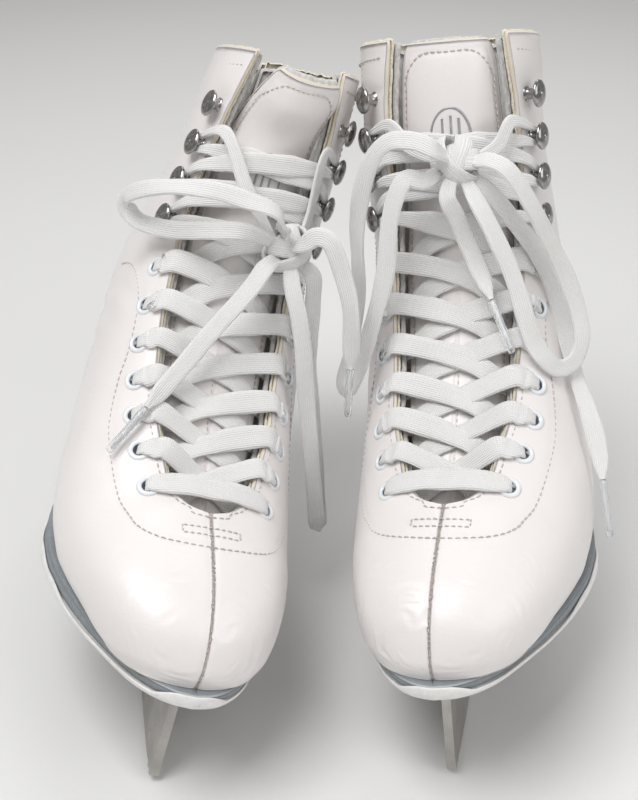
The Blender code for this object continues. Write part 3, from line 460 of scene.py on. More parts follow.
def front(run, across, depth=0.0):
    # a point by its distance up the ridge from the bottom of the opening, and across it
    section = sectionAt(run)
    return skin(section, turnAt(section, across), depth)


def wall(section, turn, depth=0.0):
    # a point of the outer surface with the seam's small gap kept
    point = skin(section, turn, depth)
    point[..., 0] += np.where(np.asarray(turn) >= 0, 1.0, -1.0) * boot["seam"]
    return point


def frames(shape, u, v, depth, du=0.5, dv=0.5):
    # the place, both directions along the surface and the outward one, for any surface function
    here = shape(u, v, depth)
    alongU = shape(u + du, v, depth) - shape(u - du, v, depth)
    alongV = shape(u, v + dv, depth) - shape(u, v - dv, depth)
    outward = np.cross(alongV, alongU)
    out = here - shape(u, v, np.asarray(depth) + 0.5)
    outward *= np.where((outward * out).sum(-1, keepdims=True) < 0, -1.0, 1.0)
    return here, unit(alongU), unit(alongV), unit(outward)


def unit(vectors):
    return vectors / np.maximum(np.linalg.norm(vectors, axis=-1, keepdims=True), 1e-9)


def worn(skate, points):
    # the shaft sags towards the inner side and narrows, more the higher it is
    shaft = skate["shaft"]
    points = np.array(points, float)
    part = np.clip((points[..., 2] - shaft["from"]) / (boot["height"] - shaft["from"]), 0.0, 1.3)
    points[..., 0] = points[..., 0] * (1 - shaft["narrow"] * part) - shaft["sway"] * part ** 1.5
    points[..., 0] *= skate["mirror"]
    return points


def stance(skate):
    # turn and place of one skate as it stands on its blade, in mm
    yaw, lean = math.radians(skate["yaw"]), math.radians(skate["lean"])
    turn = np.array([[math.cos(yaw), -math.sin(yaw), 0], [math.sin(yaw), math.cos(yaw), 0], [0, 0, 1]])
    tilt = np.array([[math.cos(lean), 0, math.sin(lean)], [0, 1, 0], [-math.sin(lean), 0, math.cos(lean)]])
    up, over = boot["blade"] * math.cos(lean), boot["blade"] * math.sin(lean)
    place = np.array([skate["foot"][0] + over * math.cos(yaw), skate["foot"][1] + over * math.sin(yaw),
                      up + boot["bladeHalf"] * abs(math.sin(lean))])
    return turn @ tilt, place


def standing(skate, points):
    # points of a skate's own frame as that skate stands: slumped, mirrored, turned and moved
    turn, place = stance(skate)
    return worn(skate, points) @ turn.T + place



def gridFaces(rows, columns, start=0, aroundRows=False, aroundColumns=False):
    index = np.arange(rows * columns).reshape(rows, columns) + start
    if aroundRows:
        index = np.vstack([index, index[:1]])
    if aroundColumns:
        index = np.hstack([index, index[:, :1]])
    return np.stack([index[:-1, :-1], index[1:, :-1], index[1:, 1:], index[:-1, 1:]], -1).reshape(-1, 4)


def borderOf(rows, columns):
    # indices round the edge of a grid
    index = np.arange(rows * columns).reshape(rows, columns)
    return np.concatenate([index[0, :-1], index[:-1, -1], index[-1, :0:-1], index[:0:-1, 0]])


def shell(outer, inner, marks, rings=3):
    # a closed sheet between two grids, with a half round rim; marks are values carried by each point
    rows, columns = outer.shape[:2]
    top, low = outer.reshape(-1, 3), inner.reshape(-1, 3)
    count = len(top)
    rim = borderOf(rows, columns)
    inwards = np.clip(rim // columns, 1, rows - 2) * columns + np.clip(rim % columns, 1, columns - 2)
    middle, half = (top[rim] + low[rim]) / 2, (top[rim] - low[rim]) / 2
    out = unit(middle - (top[inwards] + low[inwards]) / 2)
    slope = (out * half).sum(-1, keepdims=True) / np.maximum((half * half).sum(-1, keepdims=True), 1e-9)
    out = unit(out - half * slope)
    bulge = np.linalg.norm(half, axis=1, keepdims=True)
    angles = np.linspace(0, math.pi, rings + 2)[1:-1]
    loops = [middle + math.cos(a) * half + math.sin(a) * bulge * out for a in angles]
    points = np.concatenate([top, low] + loops)
    faces = [gridFaces(rows, columns), gridFaces(rows, columns, count)[:, ::-1]]
    chain = [rim] + [2 * count + len(rim) * i + np.arange(len(rim)) for i in range(rings)] + [rim + count]
    for a, b in zip(chain[:-1], chain[1:]):
        faces.append(np.stack([a, b, np.roll(b, -1), np.roll(a, -1)], -1))
    carried = {}
    for name, grid in marks.items():
        flat = np.asarray(grid, float).reshape(count, -1)
        carried[name] = np.concatenate([flat, flat] + [flat[rim]] * rings)
    edge = np.zeros((len(points), 1))
    edge[2 * count:] = 1.0
    carried.setdefault("edge", edge)
    return points, np.concatenate(faces), carried


def loft(rings, closed=False):
    # a closed body through equal rings of points; its ends are closed with fans
    rings = np.asarray(rings, float)
    rows, columns = rings.shape[:2]
    points, faces = rings.reshape(-1, 3), gridFaces(rows, columns, 0, closed, True)
    if not closed:
        points = np.concatenate([points, rings[0].mean(0)[None], rings[-1].mean(0)[None]])
        ring, base = np.arange(columns), rows * columns
        first = np.stack([np.roll(ring, -1), ring, np.full(columns, base)], -1)
        ring = ring + (rows - 1) * columns
        second = np.stack([ring, np.roll(ring, -1), np.full(columns, base + 1)], -1)
        return points, (faces, np.concatenate([first, second]))
    return points, (faces, np.zeros((0, 3), int))


def makePiece(name, points, faces, look, body, marks=None):
    # points in mm in the shared frame; faces are quads, or quads and triangles
    quads, threes = faces if isinstance(faces, tuple) else (faces, np.zeros((0, 3), int))
    a = points[quads[:, [0, 0]]]
    b, c = points[quads[:, [1, 2]]], points[quads[:, [2, 3]]]
    bulk = np.einsum("ijk,ijk->", a, np.cross(b, c))
    if len(threes):
        a, b, c = (points[threes[:, i]] for i in range(3))
        bulk += np.einsum("ij,ij->", a, np.cross(b, c))
    if bulk < 0:
        quads, threes = quads[:, ::-1], threes[:, ::-1]
    mesh = bpy.data.meshes.new(name)
    mesh.from_pydata((points * mm).tolist(), [], quads.tolist() + threes.tolist())
    mesh.polygons.foreach_set("use_smooth", np.ones(len(mesh.polygons), bool))
    for key, values in (marks or {}).items():
        values = np.asarray(values, np.float32).reshape(len(points), -1)
        kind, field = ("FLOAT", "value") if values.shape[1] == 1 else ("FLOAT_VECTOR", "vector")
        mesh.attributes.new(key, kind, "POINT").data.foreach_set(field, values.ravel())
    mesh.materials.append(finish[look])
    mesh.update()
    piece = bpy.data.objects.new(name, mesh)
    bpy.context.scene.collection.objects.link(piece)
    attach(piece, body)
    return piece


def joined(parts):
    # several bodies as the points and faces of one
    points, quads, threes, start = [], [], [], 0
    for more, faces in parts:
        four, three = faces if isinstance(faces, tuple) else (faces, np.zeros((0, 3), int))
        points.append(more)
        quads.append(four + start)
        threes.append(three + start)
        start += len(more)
    return np.concatenate(points), (np.concatenate(quads), np.concatenate(threes))


def rough(points, scale, seed):
    # smooth made-up unevenness from -1 to 1: a sum of slanted waves
    chance = np.random.default_rng(seed)
    total = np.zeros(points.shape[:-1])
    for _ in range(6):
        way = chance.normal(size=3)
        way *= chance.uniform(0.5, 1.6) * 2 * math.pi / scale / np.linalg.norm(way)
        total += np.sin(points @ way + chance.uniform(0, 6.3))
    return total / 3.2


# sizes of the flat lace in mm, and the depths that it runs at below the boot's surface
lace = {"width": 10.2, "thick": 2.3, "freeWidth": 8.2, "freeThick": 2.1,
        "atHook": 5.4, "atHole": 7.6, "room": 11.4, "under": 9.4, "over": -2.1,
        "eyelets": 7, "firstEyelet": 11.0, "eyeletPitch": 18.2,
        "firstHook": 143.0, "hookPitch": 15.2, "hooksLaced": 3, "wrap": 3.25,
        "inHole": (5.3, 2.7), "atStem": (2.0, 3.0), "stemHeight": 3.0, "hookClear": 4.4, "hookLeave": 4.6,
        "stemTurns": (-100.0, -50.0, 0.0, 50.0, 100.0),
        "knot": (12.0, 10.5, 8.5), "agletLength": 25.0, "agletWidth": 3.6,
        # each turn round the knot: slant, tip, size, width and phase of its wobble
        "turns": ((0.0, 0.15, 0.80, 8.2, 0.0), (1.15, -0.2, 0.90, 8.0, 1.5), (2.2, 0.35, 1.0, 7.6, 3.0))}
# free ends of the laces, as points over the floor in mm from their knot on; a loop comes back to it
free = {
    "left_loop_a": ((46, 7, 236), (37, 9, 239), (26, 13, 236.5), (18.5, 15, 224), (14.5, 16, 198),
                    (15.5, 15, 168), (12.5, 13, 138), (8.5, 9, 122), (11, 4, 121), (16, 3, 134),
                    (22.5, 3, 159), (27, 5, 180.5), (28.5, 8, 205), (34, 10, 221), (43, 12.5, 220)),
    "left_loop_b": ((70, 10, 230), (78, 5, 227), (88, 3, 213), (97, 4, 197), (106, 4, 180), (113, 0, 163),
                    (115, -5, 152), (111.5, -10, 144), (104, -15, 143), (97.5, -16, 148), (91, -13, 157),
                    (82, -4, 182), (73, 1, 200), (66, 6, 212)),
    "left_tail_a": ((52.5, 6, 215), (57, 7, 205.5), (62, 7, 194.5), (68, 3, 182.5), (73, -5, 172)),
    "left_tail_b": ((72, 13, 214), (84, 13, 200), (95, 14, 185), (104, 14, 168), (108.5, 8, 153),
                    (111.5, -1, 142.5), (114, -11, 134), (118, -24, 124), (121, -36, 112.5), (122, -45, 104)),
    "right_loop_a": ((-20, 8, 207), (-34, 6, 214), (-47, 9, 217), (-65, 16, 216), (-82, 26, 210.5),
                     (-90, 34, 202.5), (-84.5, 33, 193), (-67, 19, 194.5), (-47, 9, 198.5), (-33, 7, 198.5)),
    "right_loop_b": ((-14, 7, 171), (-11, 2, 158), (-9, -1, 140), (-8, -3, 118), (-6, -4, 90), (-4, -4, 62),
                     (-3.2, -3, 50), (-2.5, 1, 45), (-2.5, 6, 49), (-3.5, 8, 62), (-5, 8, 90),
                     (-6.5, 8.5, 118), (-7, 11, 140), (-5, 15, 162), (-5, 16, 173)),
    "right_tail_a": ((-26, 6, 182), (-33, 0, 174), (-48, -9, 160), (-65, -25, 145), (-76.5, -37, 136)),
    "right_tail_b": ((-8, 6, 194), (-3, 3, 198), (3, 0, 196), (8.5, -3, 181), (11.5, -6, 168), (12, -7, 151),
                     (11.7, -7, 138.5)),
}
# which way the broad face of each free end looks, at its start, middle and end
faceWays = {
    "left_loop_a": ((0, -0.8, 0.6), (-0.6, -0.8, 0.1), (0, -0.8, 0.6)),
    "left_loop_b": ((0, -0.7, 0.7), (0, -0.9, 0.5), (0, -0.7, 0.7)),
    "left_tail_a": ((0, -1, 0.2), (0, -1, 0.3), (0, -1, 0.3)),
    "left_tail_b": ((0, -0.9, 0.4), (0.2, -0.9, 0.3), (0, -0.9, 0.4)),
    "right_loop_a": ((0, -0.5, 0.9), (-0.3, -0.6, 0.7), (0, -0.9, -0.2)),
    "right_loop_b": ((0.1, -1, 0.2), (0, -1, 0.1), (0, -1, 0.2)),
    "right_tail_a": ((0, -1, 0.3), (-0.2, -0.9, 0.5), (0, -0.9, 0.4)),
    "right_tail_b": ((0, -0.7, 0.7), (-0.3, -1, 0.2), (-0.2, -1, 0.1)),
}


def bandRings(places, across, widths, thick):
    # rings of a flat band: eight rounded corners and a faint hollow along the middle of each face
    ahead = unit(np.gradient(places, axis=0))
    across = unit(across - ahead * (across * ahead).sum(-1, keepdims=True))
    up = np.cross(ahead, across)
    quarter = np.array([0.5, 0.47, 0.36, 0.18])
    shapeAcross = np.concatenate([quarter, [0.0], -quarter[::-1], -quarter[1:], [0.0], quarter[:0:-1]])
    halfUp = np.array([0.0, 0.3, 0.47, 0.47, 0.42, 0.47, 0.47, 0.3])
    shapeUp = np.concatenate([halfUp, -halfUp])
    rings = (places[:, None] + across[:, None] * (shapeAcross[None, :, None] * widths[:, None, None])
             + up[:, None] * (shapeUp[None, :, None] * thick[:, None, None]))
    run = np.concatenate([[0.0], np.cumsum(np.linalg.norm(np.diff(places, axis=0), axis=1))])
    flat = np.zeros(rings.shape)
    flat[..., 0] = shapeAcross[None, :] * widths[:, None]
    flat[..., 1] = run[:, None]
    return rings, flat


def bandPiece(name, places, across, widths, thick, body, skate=None):
    # a band; with a skate, its places are in that skate's own frame
    rings, flat = bandRings(places, across, widths, thick)
    points, faces = loft(rings)
    points = points if skate is None else standing(skate, points)
    flat = np.concatenate([flat.reshape(-1, 3), flat[0].mean(0)[None], flat[-1].mean(0)[None]])
    return makePiece(name, points, faces, "lace", body, {"flat": flat})


def levelRun(level):
    # distance up the ridge of a lacing level, eyelets first and then hooks
    if level < lace["eyelets"]:
        return lace["firstEyelet"] + lace["eyeletPitch"] * level
    return lace["firstHook"] + lace["hookPitch"] * (level - lace["eyelets"])


def holeAcross(run, side):
    # distance across of an eyelet or hook that is set in from the edge of the facing
    section = sectionAt(run)
    start = abs(turnAt(section, side * throatHalf(section)))
    line = skin(section, side * np.linspace(start, math.pi / 2, 80))
    walked = np.concatenate([[0.0], np.cumsum(np.linalg.norm(np.diff(line, axis=0), axis=1))])
    return float(np.interp(np.interp(section, boot["holeAt"], boot["holeIn"]), walked, np.abs(line[:, 0])))


class Way:
    # the laced way up the boot: places, broad-face directions, widths and thicknesses
    def __init__(self):
        self.rows = []

    def on(self, run, across, depth, width, thick, sign, toSide=False):
        # a row on the front of the boot; toSide keeps the lace edge-on through a hole
        here, along, sideways, outward = frames(front, run, across, depth)
        sideways = np.cross(along, outward) * (1 if np.cross(along, outward)[0] > 0 else -1)
        self.rows.append([here, outward, width, thick, sign, sideways * toSide])

    # each of the next two returns or keeps the sign that tells which face of the lace is outward
    def throughEyelet(self, level, side, sign):
        run = levelRun(level)
        across = side * holeAcross(run, side)
        for depth in (-0.3, boot["wall"] / 2, boot["wall"] + 0.8):
            self.on(run, across, depth, *lace["inHole"], sign, side)
        self.on(run + 1.0, side * (abs(across) - 4.0), lace["under"] + 0.4, 5.6, lace["thick"], -sign)
        return -sign

    def aroundHook(self, level, side, sign):
        run = levelRun(level)
        here, along, sideways, outward = frames(front, run, side * holeAcross(run, side), 0.0)
        sideways = np.cross(along, outward) * (1 if np.cross(along, outward)[0] > 0 else -1)
        edge = float(throatHalf(sectionAt(run)))
        self.on(run - lace["hookClear"], side * (edge - 1.0), lace["over"], lace["atHook"],
                lace["thick"], sign)
        for angle in lace["stemTurns"]:
            turn = math.radians(angle)
            reach = math.cos(turn) * side * sideways + math.sin(turn) * along
            place = here + outward * lace["stemHeight"] + lace["wrap"] * reach
            self.rows.append([place, outward, *lace["atStem"], sign, np.zeros(3)])

    def crossOver(self, level, side, sign, high):
        hooked, nextHooked = level >= lace["eyelets"], level + 1 >= lace["eyelets"]
        start, end = levelRun(level), levelRun(level + 1)
        if hooked:
            edge = float(throatHalf(sectionAt(start)))
            self.on(start + lace["hookClear"], side * (edge - 1.0), lace["over"], lace["atHook"],
                    lace["thick"], sign)
            start, first = start + lace["hookLeave"], 2.4
        else:
            start += 2.0
            edge = float(throatHalf(sectionAt(start)))
            self.on(start, side * edge * 0.84, lace["under"], lace["width"], lace["thick"], sign)
            first = lace["under"]
        end -= lace["hookLeave"] if nextHooked else 1.2
        middle = lace["under"] - (2.4 if high else 0.1)
        half = 0.45 * edge
        for share, across, depth in ((0.28, side * half, 0.35 * first + 0.65 * middle),
                                     (0.5, 0.0, middle), (0.72, -side * half, 0.65 * middle + 0.8)):
            self.on(start + share * (end - start), across, depth, lace["width"], lace["thick"], sign)
        if nextHooked:
            self.aroundHook(level + 1, -side, sign)
            return sign
        edge = float(throatHalf(sectionAt(end)))
        self.on(end - 0.6, -side * (edge - 2.4), lace["over"] + 0.3, lace["width"], lace["thick"], sign)
        self.on(end, -side * (edge + 2.5), lace["over"], lace["width"], lace["thick"], sign)
        across = holeAcross(levelRun(level + 1), -side)
        self.on(levelRun(level + 1) - 0.9, -side * (across - 3.4), lace["over"] - 0.3, lace["atHole"],
                lace["thick"], sign)
        return self.throughEyelet(level + 1, -side, sign)

    def climb(self, side, knot):
        sign = self.throughEyelet(0, side, side)
        top = lace["eyelets"] + lace["hooksLaced"] - 1
        for level in range(top):
            sign = self.crossOver(level, side, sign, side > 0)
            side = -side
        run = levelRun(top)
        edge = float(throatHalf(sectionAt(run)))
        self.on(run + 1.5, side * (edge - 5.0), -3.6, 6.0, 2.0, sign)
        reach = knot["across"] + side * lace["knot"][0] * 0.55
        self.on(0.5 * (run + knot["run"]), 0.5 * (side * edge + reach), -3.2, 6.5, 2.0, sign)
        self.on(knot["run"] + 1.5, reach, knot["depth"] + 2.5, 4.0, 2.0, sign)


def lacingWay(knot):
    outer, inner, whole = Way(), Way(), Way()
    outer.climb(1.0, knot)
    inner.climb(-1.0, knot)
    for place, outward, width, thick, sign, toSide in reversed(outer.rows):
        whole.rows.append([place, outward, width, thick, -sign, -toSide])
    run = levelRun(0)
    edge = float(throatHalf(sectionAt(run)))
    bar = (holeAcross(run, 1) - 3.0, edge - 0.5, edge * 0.5, 0.0, -edge * 0.5, 0.5 - edge,
           3.0 - holeAcross(run, -1))
    for step in bar:
        width = lace["width"] if abs(step) < edge else 8.2
        whole.on(run, step, lace["over"] + (0 if step else 0.7), width, lace["thick"], -1.0)
    whole.rows += inner.rows
    return whole


def makeLacing(name, skate, knot):
    # the cubic through the way's rows, with small swells and twists of a soft lace
    way = lacingWay(knot).rows
    places = np.array([row[0] for row in way])
    normals = np.array([row[1] for row in way])
    sizes = np.array([row[2:4] for row in way])
    ahead = unit(np.gradient(places, axis=0))
    across = []
    for i, row in enumerate(way):
        side = np.cross(normals[i], ahead[i] if not row[5].any() else row[5]) * row[4]
        across.append(unit(side - ahead[i] * (side @ ahead[i])))
    across = np.array(across)
    at = np.linspace(0, len(way) - 1, 7 * (len(way) - 1) + 1)
    finePlaces = smoothRows(places, at)
    fineAcross = np.stack([np.interp(at, np.arange(len(way)), across[:, i]) for i in range(3)], -1)
    fineSizes = np.stack([np.interp(at, np.arange(len(way)), sizes[:, i]) for i in range(2)], -1)
    swell = rough(finePlaces, 26.0, 5) * 0.07 + rough(finePlaces, 9.0, 6) * 0.03
    twist = rough(finePlaces, 40.0, 7) * 0.16
    up = np.cross(unit(np.gradient(finePlaces, axis=0)), fineAcross)
    fineAcross = fineAcross * np.cos(twist)[:, None] + up * np.sin(twist)[:, None]
    return bandPiece(name + "_flatLacing", finePlaces, fineAcross, fineSizes[:, 0] * (1 + swell),
                     fineSizes[:, 1] * (1 + swell * 2), name + "_skate", skate)


def knotFrame(skate, knot):
    # middle of the knot and its three half axes, in the shared frame
    here, along, sideways, outward = frames(front, knot["run"], knot["across"], knot["depth"])
    sideways = np.cross(along, outward)
    centre = standing(skate, here)
    return centre, [standing(skate, here + axis) - centre for axis in (sideways, along, outward)]


def makeKnot(name, skate, knot):
    # three turns of band wound over a soft core; each turn is a tilted ring that rides on the one below
    centre, axes = knotFrame(skate, knot)
    parts, flats = [], []
    for slant, tip, size, width, phase in lace["turns"]:
        angle = np.linspace(0, 2 * math.pi, 61)[:-1]
        first = math.cos(slant) * axes[0] + math.sin(slant) * axes[1]
        level = math.cos(slant) * axes[1] - math.sin(slant) * axes[0]
        second = axes[2] * math.cos(tip) + level * math.sin(tip)
        wobble = 1 + 0.05 * np.sin(3 * angle + phase)
        reach = 1 / np.sqrt(sum((np.cos(angle) * (first @ a) / s + np.sin(angle) * (second @ a) / s) ** 2
                                for a, s in zip(axes, lace["knot"])))
        radial = np.cos(angle)[:, None] * first + np.sin(angle)[:, None] * second
        places = centre + radial * (reach * size * wobble)[:, None]
        ahead = unit(np.roll(places, -1, 0) - np.roll(places, 1, 0))
        across = unit(np.cross(ahead, radial))
        up = np.cross(ahead, across)
        angleRound = np.linspace(0, 2 * math.pi, 15)[:-1]
        wide = width * (1 + 0.12 * np.sin(2 * angle + phase))
        boxy = np.sign(np.cos(angleRound)) * np.abs(np.cos(angleRound)) ** 0.7
        rings = (places[:, None] + across[:, None] * boxy[None, :, None] * wide[:, None, None] / 2
                 + up[:, None] * (np.sin(angleRound)[None, :, None] * 1.25))
        parts.append(loft(rings, True))
        flat = np.zeros(rings.shape)
        flat[..., 0] = np.cos(angleRound)[None, :] * width / 2
        flat[..., 1] = (angle * 9.0)[:, None]
        flats.append(flat.reshape(-1, 3))
    height, around = np.meshgrid(np.linspace(0.06, math.pi - 0.06, 20),
                                 np.linspace(0, 2 * math.pi, 33)[:-1], indexing="ij")
    core = centre + 0.72 * (np.cos(height)[..., None] * axes[2] * lace["knot"][2]
                            + (np.sin(height) * np.cos(around))[..., None] * axes[0] * lace["knot"][0]
                            + (np.sin(height) * np.sin(around))[..., None] * axes[1] * lace["knot"][1])
    core = centre + (core - centre) * (1 + 0.06 * rough(core, 7.0, 9))[..., None]
    parts.append(loft(core))
    flats.append(np.concatenate([core.reshape(-1, 3) - centre, np.zeros((2, 3))]))
    points, faces = joined(parts)
    marks = {"flat": np.concatenate(flats)}
    return makePiece(name + "_knot", points, faces, "lace", name + "_skate", marks)


def makeFreeLace(name, skate, knot, chosen):
    # a soft flat band along the chosen points, its broad face turning between three given ways
    centre, axes = knotFrame(skate, knot)

    def leaving(towards):
        way = unit(np.array(towards, float) - centre)
        reach = 1 / math.sqrt(sum((way @ axis / size) ** 2 for axis, size in zip(axes, lace["knot"])))
        return centre + way * (reach - 2.5)

    route = [leaving(chosen[0]), *np.array(chosen, float)]
    if "loop" in name:
        route.append(leaving(chosen[-1]))
    route = np.array(route)
    finer = smoothRows(route, np.linspace(0, len(route) - 1, 40 * len(route)))
    run = np.concatenate([[0.0], np.cumsum(np.linalg.norm(np.diff(finer, axis=0), axis=1))])
    stops = np.linspace(0, run[-1], round(run[-1] / 1.6) + 1)
    places = np.stack([np.interp(stops, run, finer[:, i]) for i in range(3)], -1)
    share = stops / stops[-1]
    ways = np.array(faceWays[name], float)
    facing = unit(np.stack([np.interp(share, (0, 0.5, 1), ways[:, i]) for i in range(3)], -1))
    ahead = unit(np.gradient(places, axis=0))
    across = unit(np.cross(ahead, facing))
    twist = rough(places, 55.0, len(name) + ord(name[-1])) * 0.35
    up = np.cross(ahead, across)
    across = across * np.cos(twist)[:, None] + up * np.sin(twist)[:, None]
    squeeze = 1 - 0.4 * np.exp(-stops / 5.0)
    if "loop" in name:
        squeeze -= 0.4 * np.exp(-(stops[-1] - stops) / 5.0)
    else:
        squeeze -= 0.72 * np.exp(-((stops[-1] - stops) / 5.0) ** 1.5)
    swell = 1 + 0.06 * rough(places, 24.0, 3) + 0.025 * rough(places, 8.0, 4)
    widths = lace["freeWidth"] * squeeze * swell
    thick = lace["freeThick"] * (1.25 - 0.25 * squeeze) * swell
    body = name.split("_")[0] + "_skate"
    piece = bandPiece(name + "_lace", places, across, widths, thick, body)
    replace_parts(piece, name)
    pieces = []
    if "tail" in name:
        axis = unit(places[-1] - places[-3])
        pieces = makeAglet(name.replace("tail", "aglet"), places[-1], axis)
    return piece


def roundBar(start, axis, profile, sides=20):
    # a turned body: pairs of radius and distance along an axis
    across = unit(np.cross(axis, (1.0, 0.2, 0.1)))
    third = np.cross(axis, across)
    angle = np.arange(sides) * 2 * math.pi / sides
    ring = np.cos(angle)[:, None] * across + np.sin(angle)[:, None] * third
    return loft(np.array([start + axis * height + ring * radius for radius, height in profile]))


def makeAglet(name, start, axis):
    # a clear sleeve over the pinched end of the lace
    radius, length = lace["agletWidth"] / 2, lace["agletLength"]
    body = name.split("_")[0] + "_skate"
    profile = [(radius * 0.86, 0.0), (radius * 0.96, 0.3), (radius, 0.8), (radius * 0.97, length * 0.5),
               (radius * 0.92, length - 1.2), (radius * 0.8, length - 0.4), (radius * 0.5, length)]
    points, faces = roundBar(start + axis * 0.3, axis, profile)
    sleeve = makePiece(name + "_sleeve", points, faces, "aglet", body)
    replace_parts(sleeve, name)
    profile = [(radius * 0.3, 0.0), (radius * 0.66, 0.6), (radius * 0.6, length * 0.5),
               (radius * 0.5, length - 3.0), (radius * 0.2, length - 2.0)]
    points, faces = roundBar(start + axis * 0.35, axis, profile, 14)
    flat = np.zeros(points.shape)
    flat[:, 1] = points @ axis
    tip = makePiece(name + "_end", points, faces, "lace", body, {"flat": flat})
    return [sleeve, tip]


for name, skate in skates.items():
    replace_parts(makeLacing(name, skate, skate["knot"]), name + "_lacing")
    makeKnot(name, skate, skate["knot"])
    for cord, chosen in free.items():
        if cord.startswith(name):
            makeFreeLace(cord, skate, skate["knot"], chosen)
print("laces tied")

# stitches in mm; the seam line is the facing's, as run up the ridge and distance across
stitching = {"length": 2.4, "pitch": 3.1, "width": 0.62, "zigPitch": 1.9, "zigReach": 0.85,
             "boxRuns": (-9.2, -13.4), "boxHalf": 12.3, "boxEnds": (-8.6, -14.0)}
seamLine = np.array([(206, 41), (180, 43), (150, 45.5), (125, 41.5), (102, 38.5), (83, 39.5), (70, 42),
                     (53, 43.5), (40, 43.4), (20, 40.4), (5, 37), (-4, 33.2), (-10, 30.5), (-15, 25.5),
                     (-18, 18.5), (-19.6, 8), (-19.8, 0)], float)


def walk(points, pitch):
    # shares of a line's length that are a pitch apart, and the share at each of its points
    run = np.concatenate([[0.0], np.cumsum(np.linalg.norm(np.diff(points, axis=0), axis=1))])
    stops = np.arange(pitch / 2, run[-1], pitch)
    return stops / max(run[-1], 1e-9), run / max(run[-1], 1e-9)


def capsules(places, ahead, outward, length, width):
    # many short stitches at once: six-sided, pinched and dipping at both ends
    along = np.array([-0.5, -0.4, 0.0, 0.4, 0.5]) * length
    fat = np.array([0.35, 0.8, 1.0, 0.8, 0.35]) * width / 2
    dip = np.array([-0.8, -0.2, 0.25, -0.2, -0.8]) * width
    side = np.cross(ahead, outward)
    angle = np.arange(6) * math.pi / 3
    rise = dip[:, None] + fat[:, None] * np.sin(angle)
    sway = fat[:, None] * np.cos(angle)
    ring = (places[:, None, None] + ahead[:, None, None] * along[None, :, None, None]
            + outward[:, None, None] * rise[None, ..., None] + side[:, None, None] * sway[None, ..., None])
    count = len(places)
    points = ring.reshape(-1, 3)
    body = gridFaces(5, 6, 0, False, True)
    caps = np.array([(0, 1, 2, 3), (0, 3, 4, 5), (27, 26, 25, 24), (29, 28, 27, 24)])[:, ::-1]
    one = np.concatenate([body, caps])
    faces = (one[None] + (np.arange(count) * 30)[:, None, None]).reshape(-1, 4)
    return points, faces


def stitchRow(shape, line, depth=-0.1, pitch=None, length=None, width=None, zig=0.0):
    # stitches along a line in the surface's own two directions
    line = np.asarray(line, float)
    finer = smoothRows(line, np.linspace(0, len(line) - 1, 24 * len(line))) if len(line) > 2 else \
        line[0] + np.linspace(0, 1, 40)[:, None] * (line[1] - line[0])
    track = shape(finer[:, 0], finer[:, 1], depth)
    share, run = walk(track, pitch or stitching["pitch"])
    u, v = (np.interp(share, run, finer[:, i]) for i in range(2))
    places = np.stack([np.interp(share, run, track[:, i]) for i in range(3)], -1)
    step = np.stack([np.interp(np.clip(share + 0.002, 0, 1), run, track[:, i])
                     - np.interp(np.clip(share - 0.002, 0, 1), run, track[:, i]) for i in range(3)], -1)
    du = 0.5 if shape is not wall else 0.02
    _, alongU, alongV, outward = frames(shape, u, v, depth, du, du)
    ahead = unit(step)
    if zig:
        side = np.cross(ahead, outward)
        flip = np.where(np.arange(len(places)) % 2, 1.0, -1.0)[:, None]
        ahead = unit(ahead * (pitch or stitching["pitch"]) + side * flip * zig * 2)
    chance = np.random.default_rng(len(places))
    ahead = unit(ahead + chance.normal(size=ahead.shape) * 0.04)
    return capsules(places, ahead, outward, length or stitching["length"], width or stitching["width"])


# layers of the wall as depths in mm, and how far creases, waves, seams and steps reach
leather = {"crease": 0.24, "creasePitch": 2.6, "fold": 0.5, "foldPitch": 15.0, "waves": 0.55,
           "facingStep": 0.35, "seamDip": 0.55, "seamWidth": 1.3,
           "stitchDip": 0.28, "canvas": (1.86, 3.3), "canvasPeep": 0.55, "fray": 0.3, "felt": (4.6, 7.6)}


def nearLine(run, across):
    # distance to the facing's seam line, below 0 inside it
    line = smoothRows(seamLine, np.linspace(0, len(seamLine) - 1, 160))
    spot = np.stack([run, np.abs(across)], -1)
    distance = np.full(run.shape, 1e9)
    for start in range(0, len(run), 20):
        block = spot[start:start + 20]
        gap = np.linalg.norm(block[..., None, :] - line, axis=-1)
        distance[start:start + 20] = gap.min(-1)
    edge = np.interp(run, line[::-1, 0], line[::-1, 1], left=-1.0)
    return np.where((np.abs(across) < edge), -distance, distance)


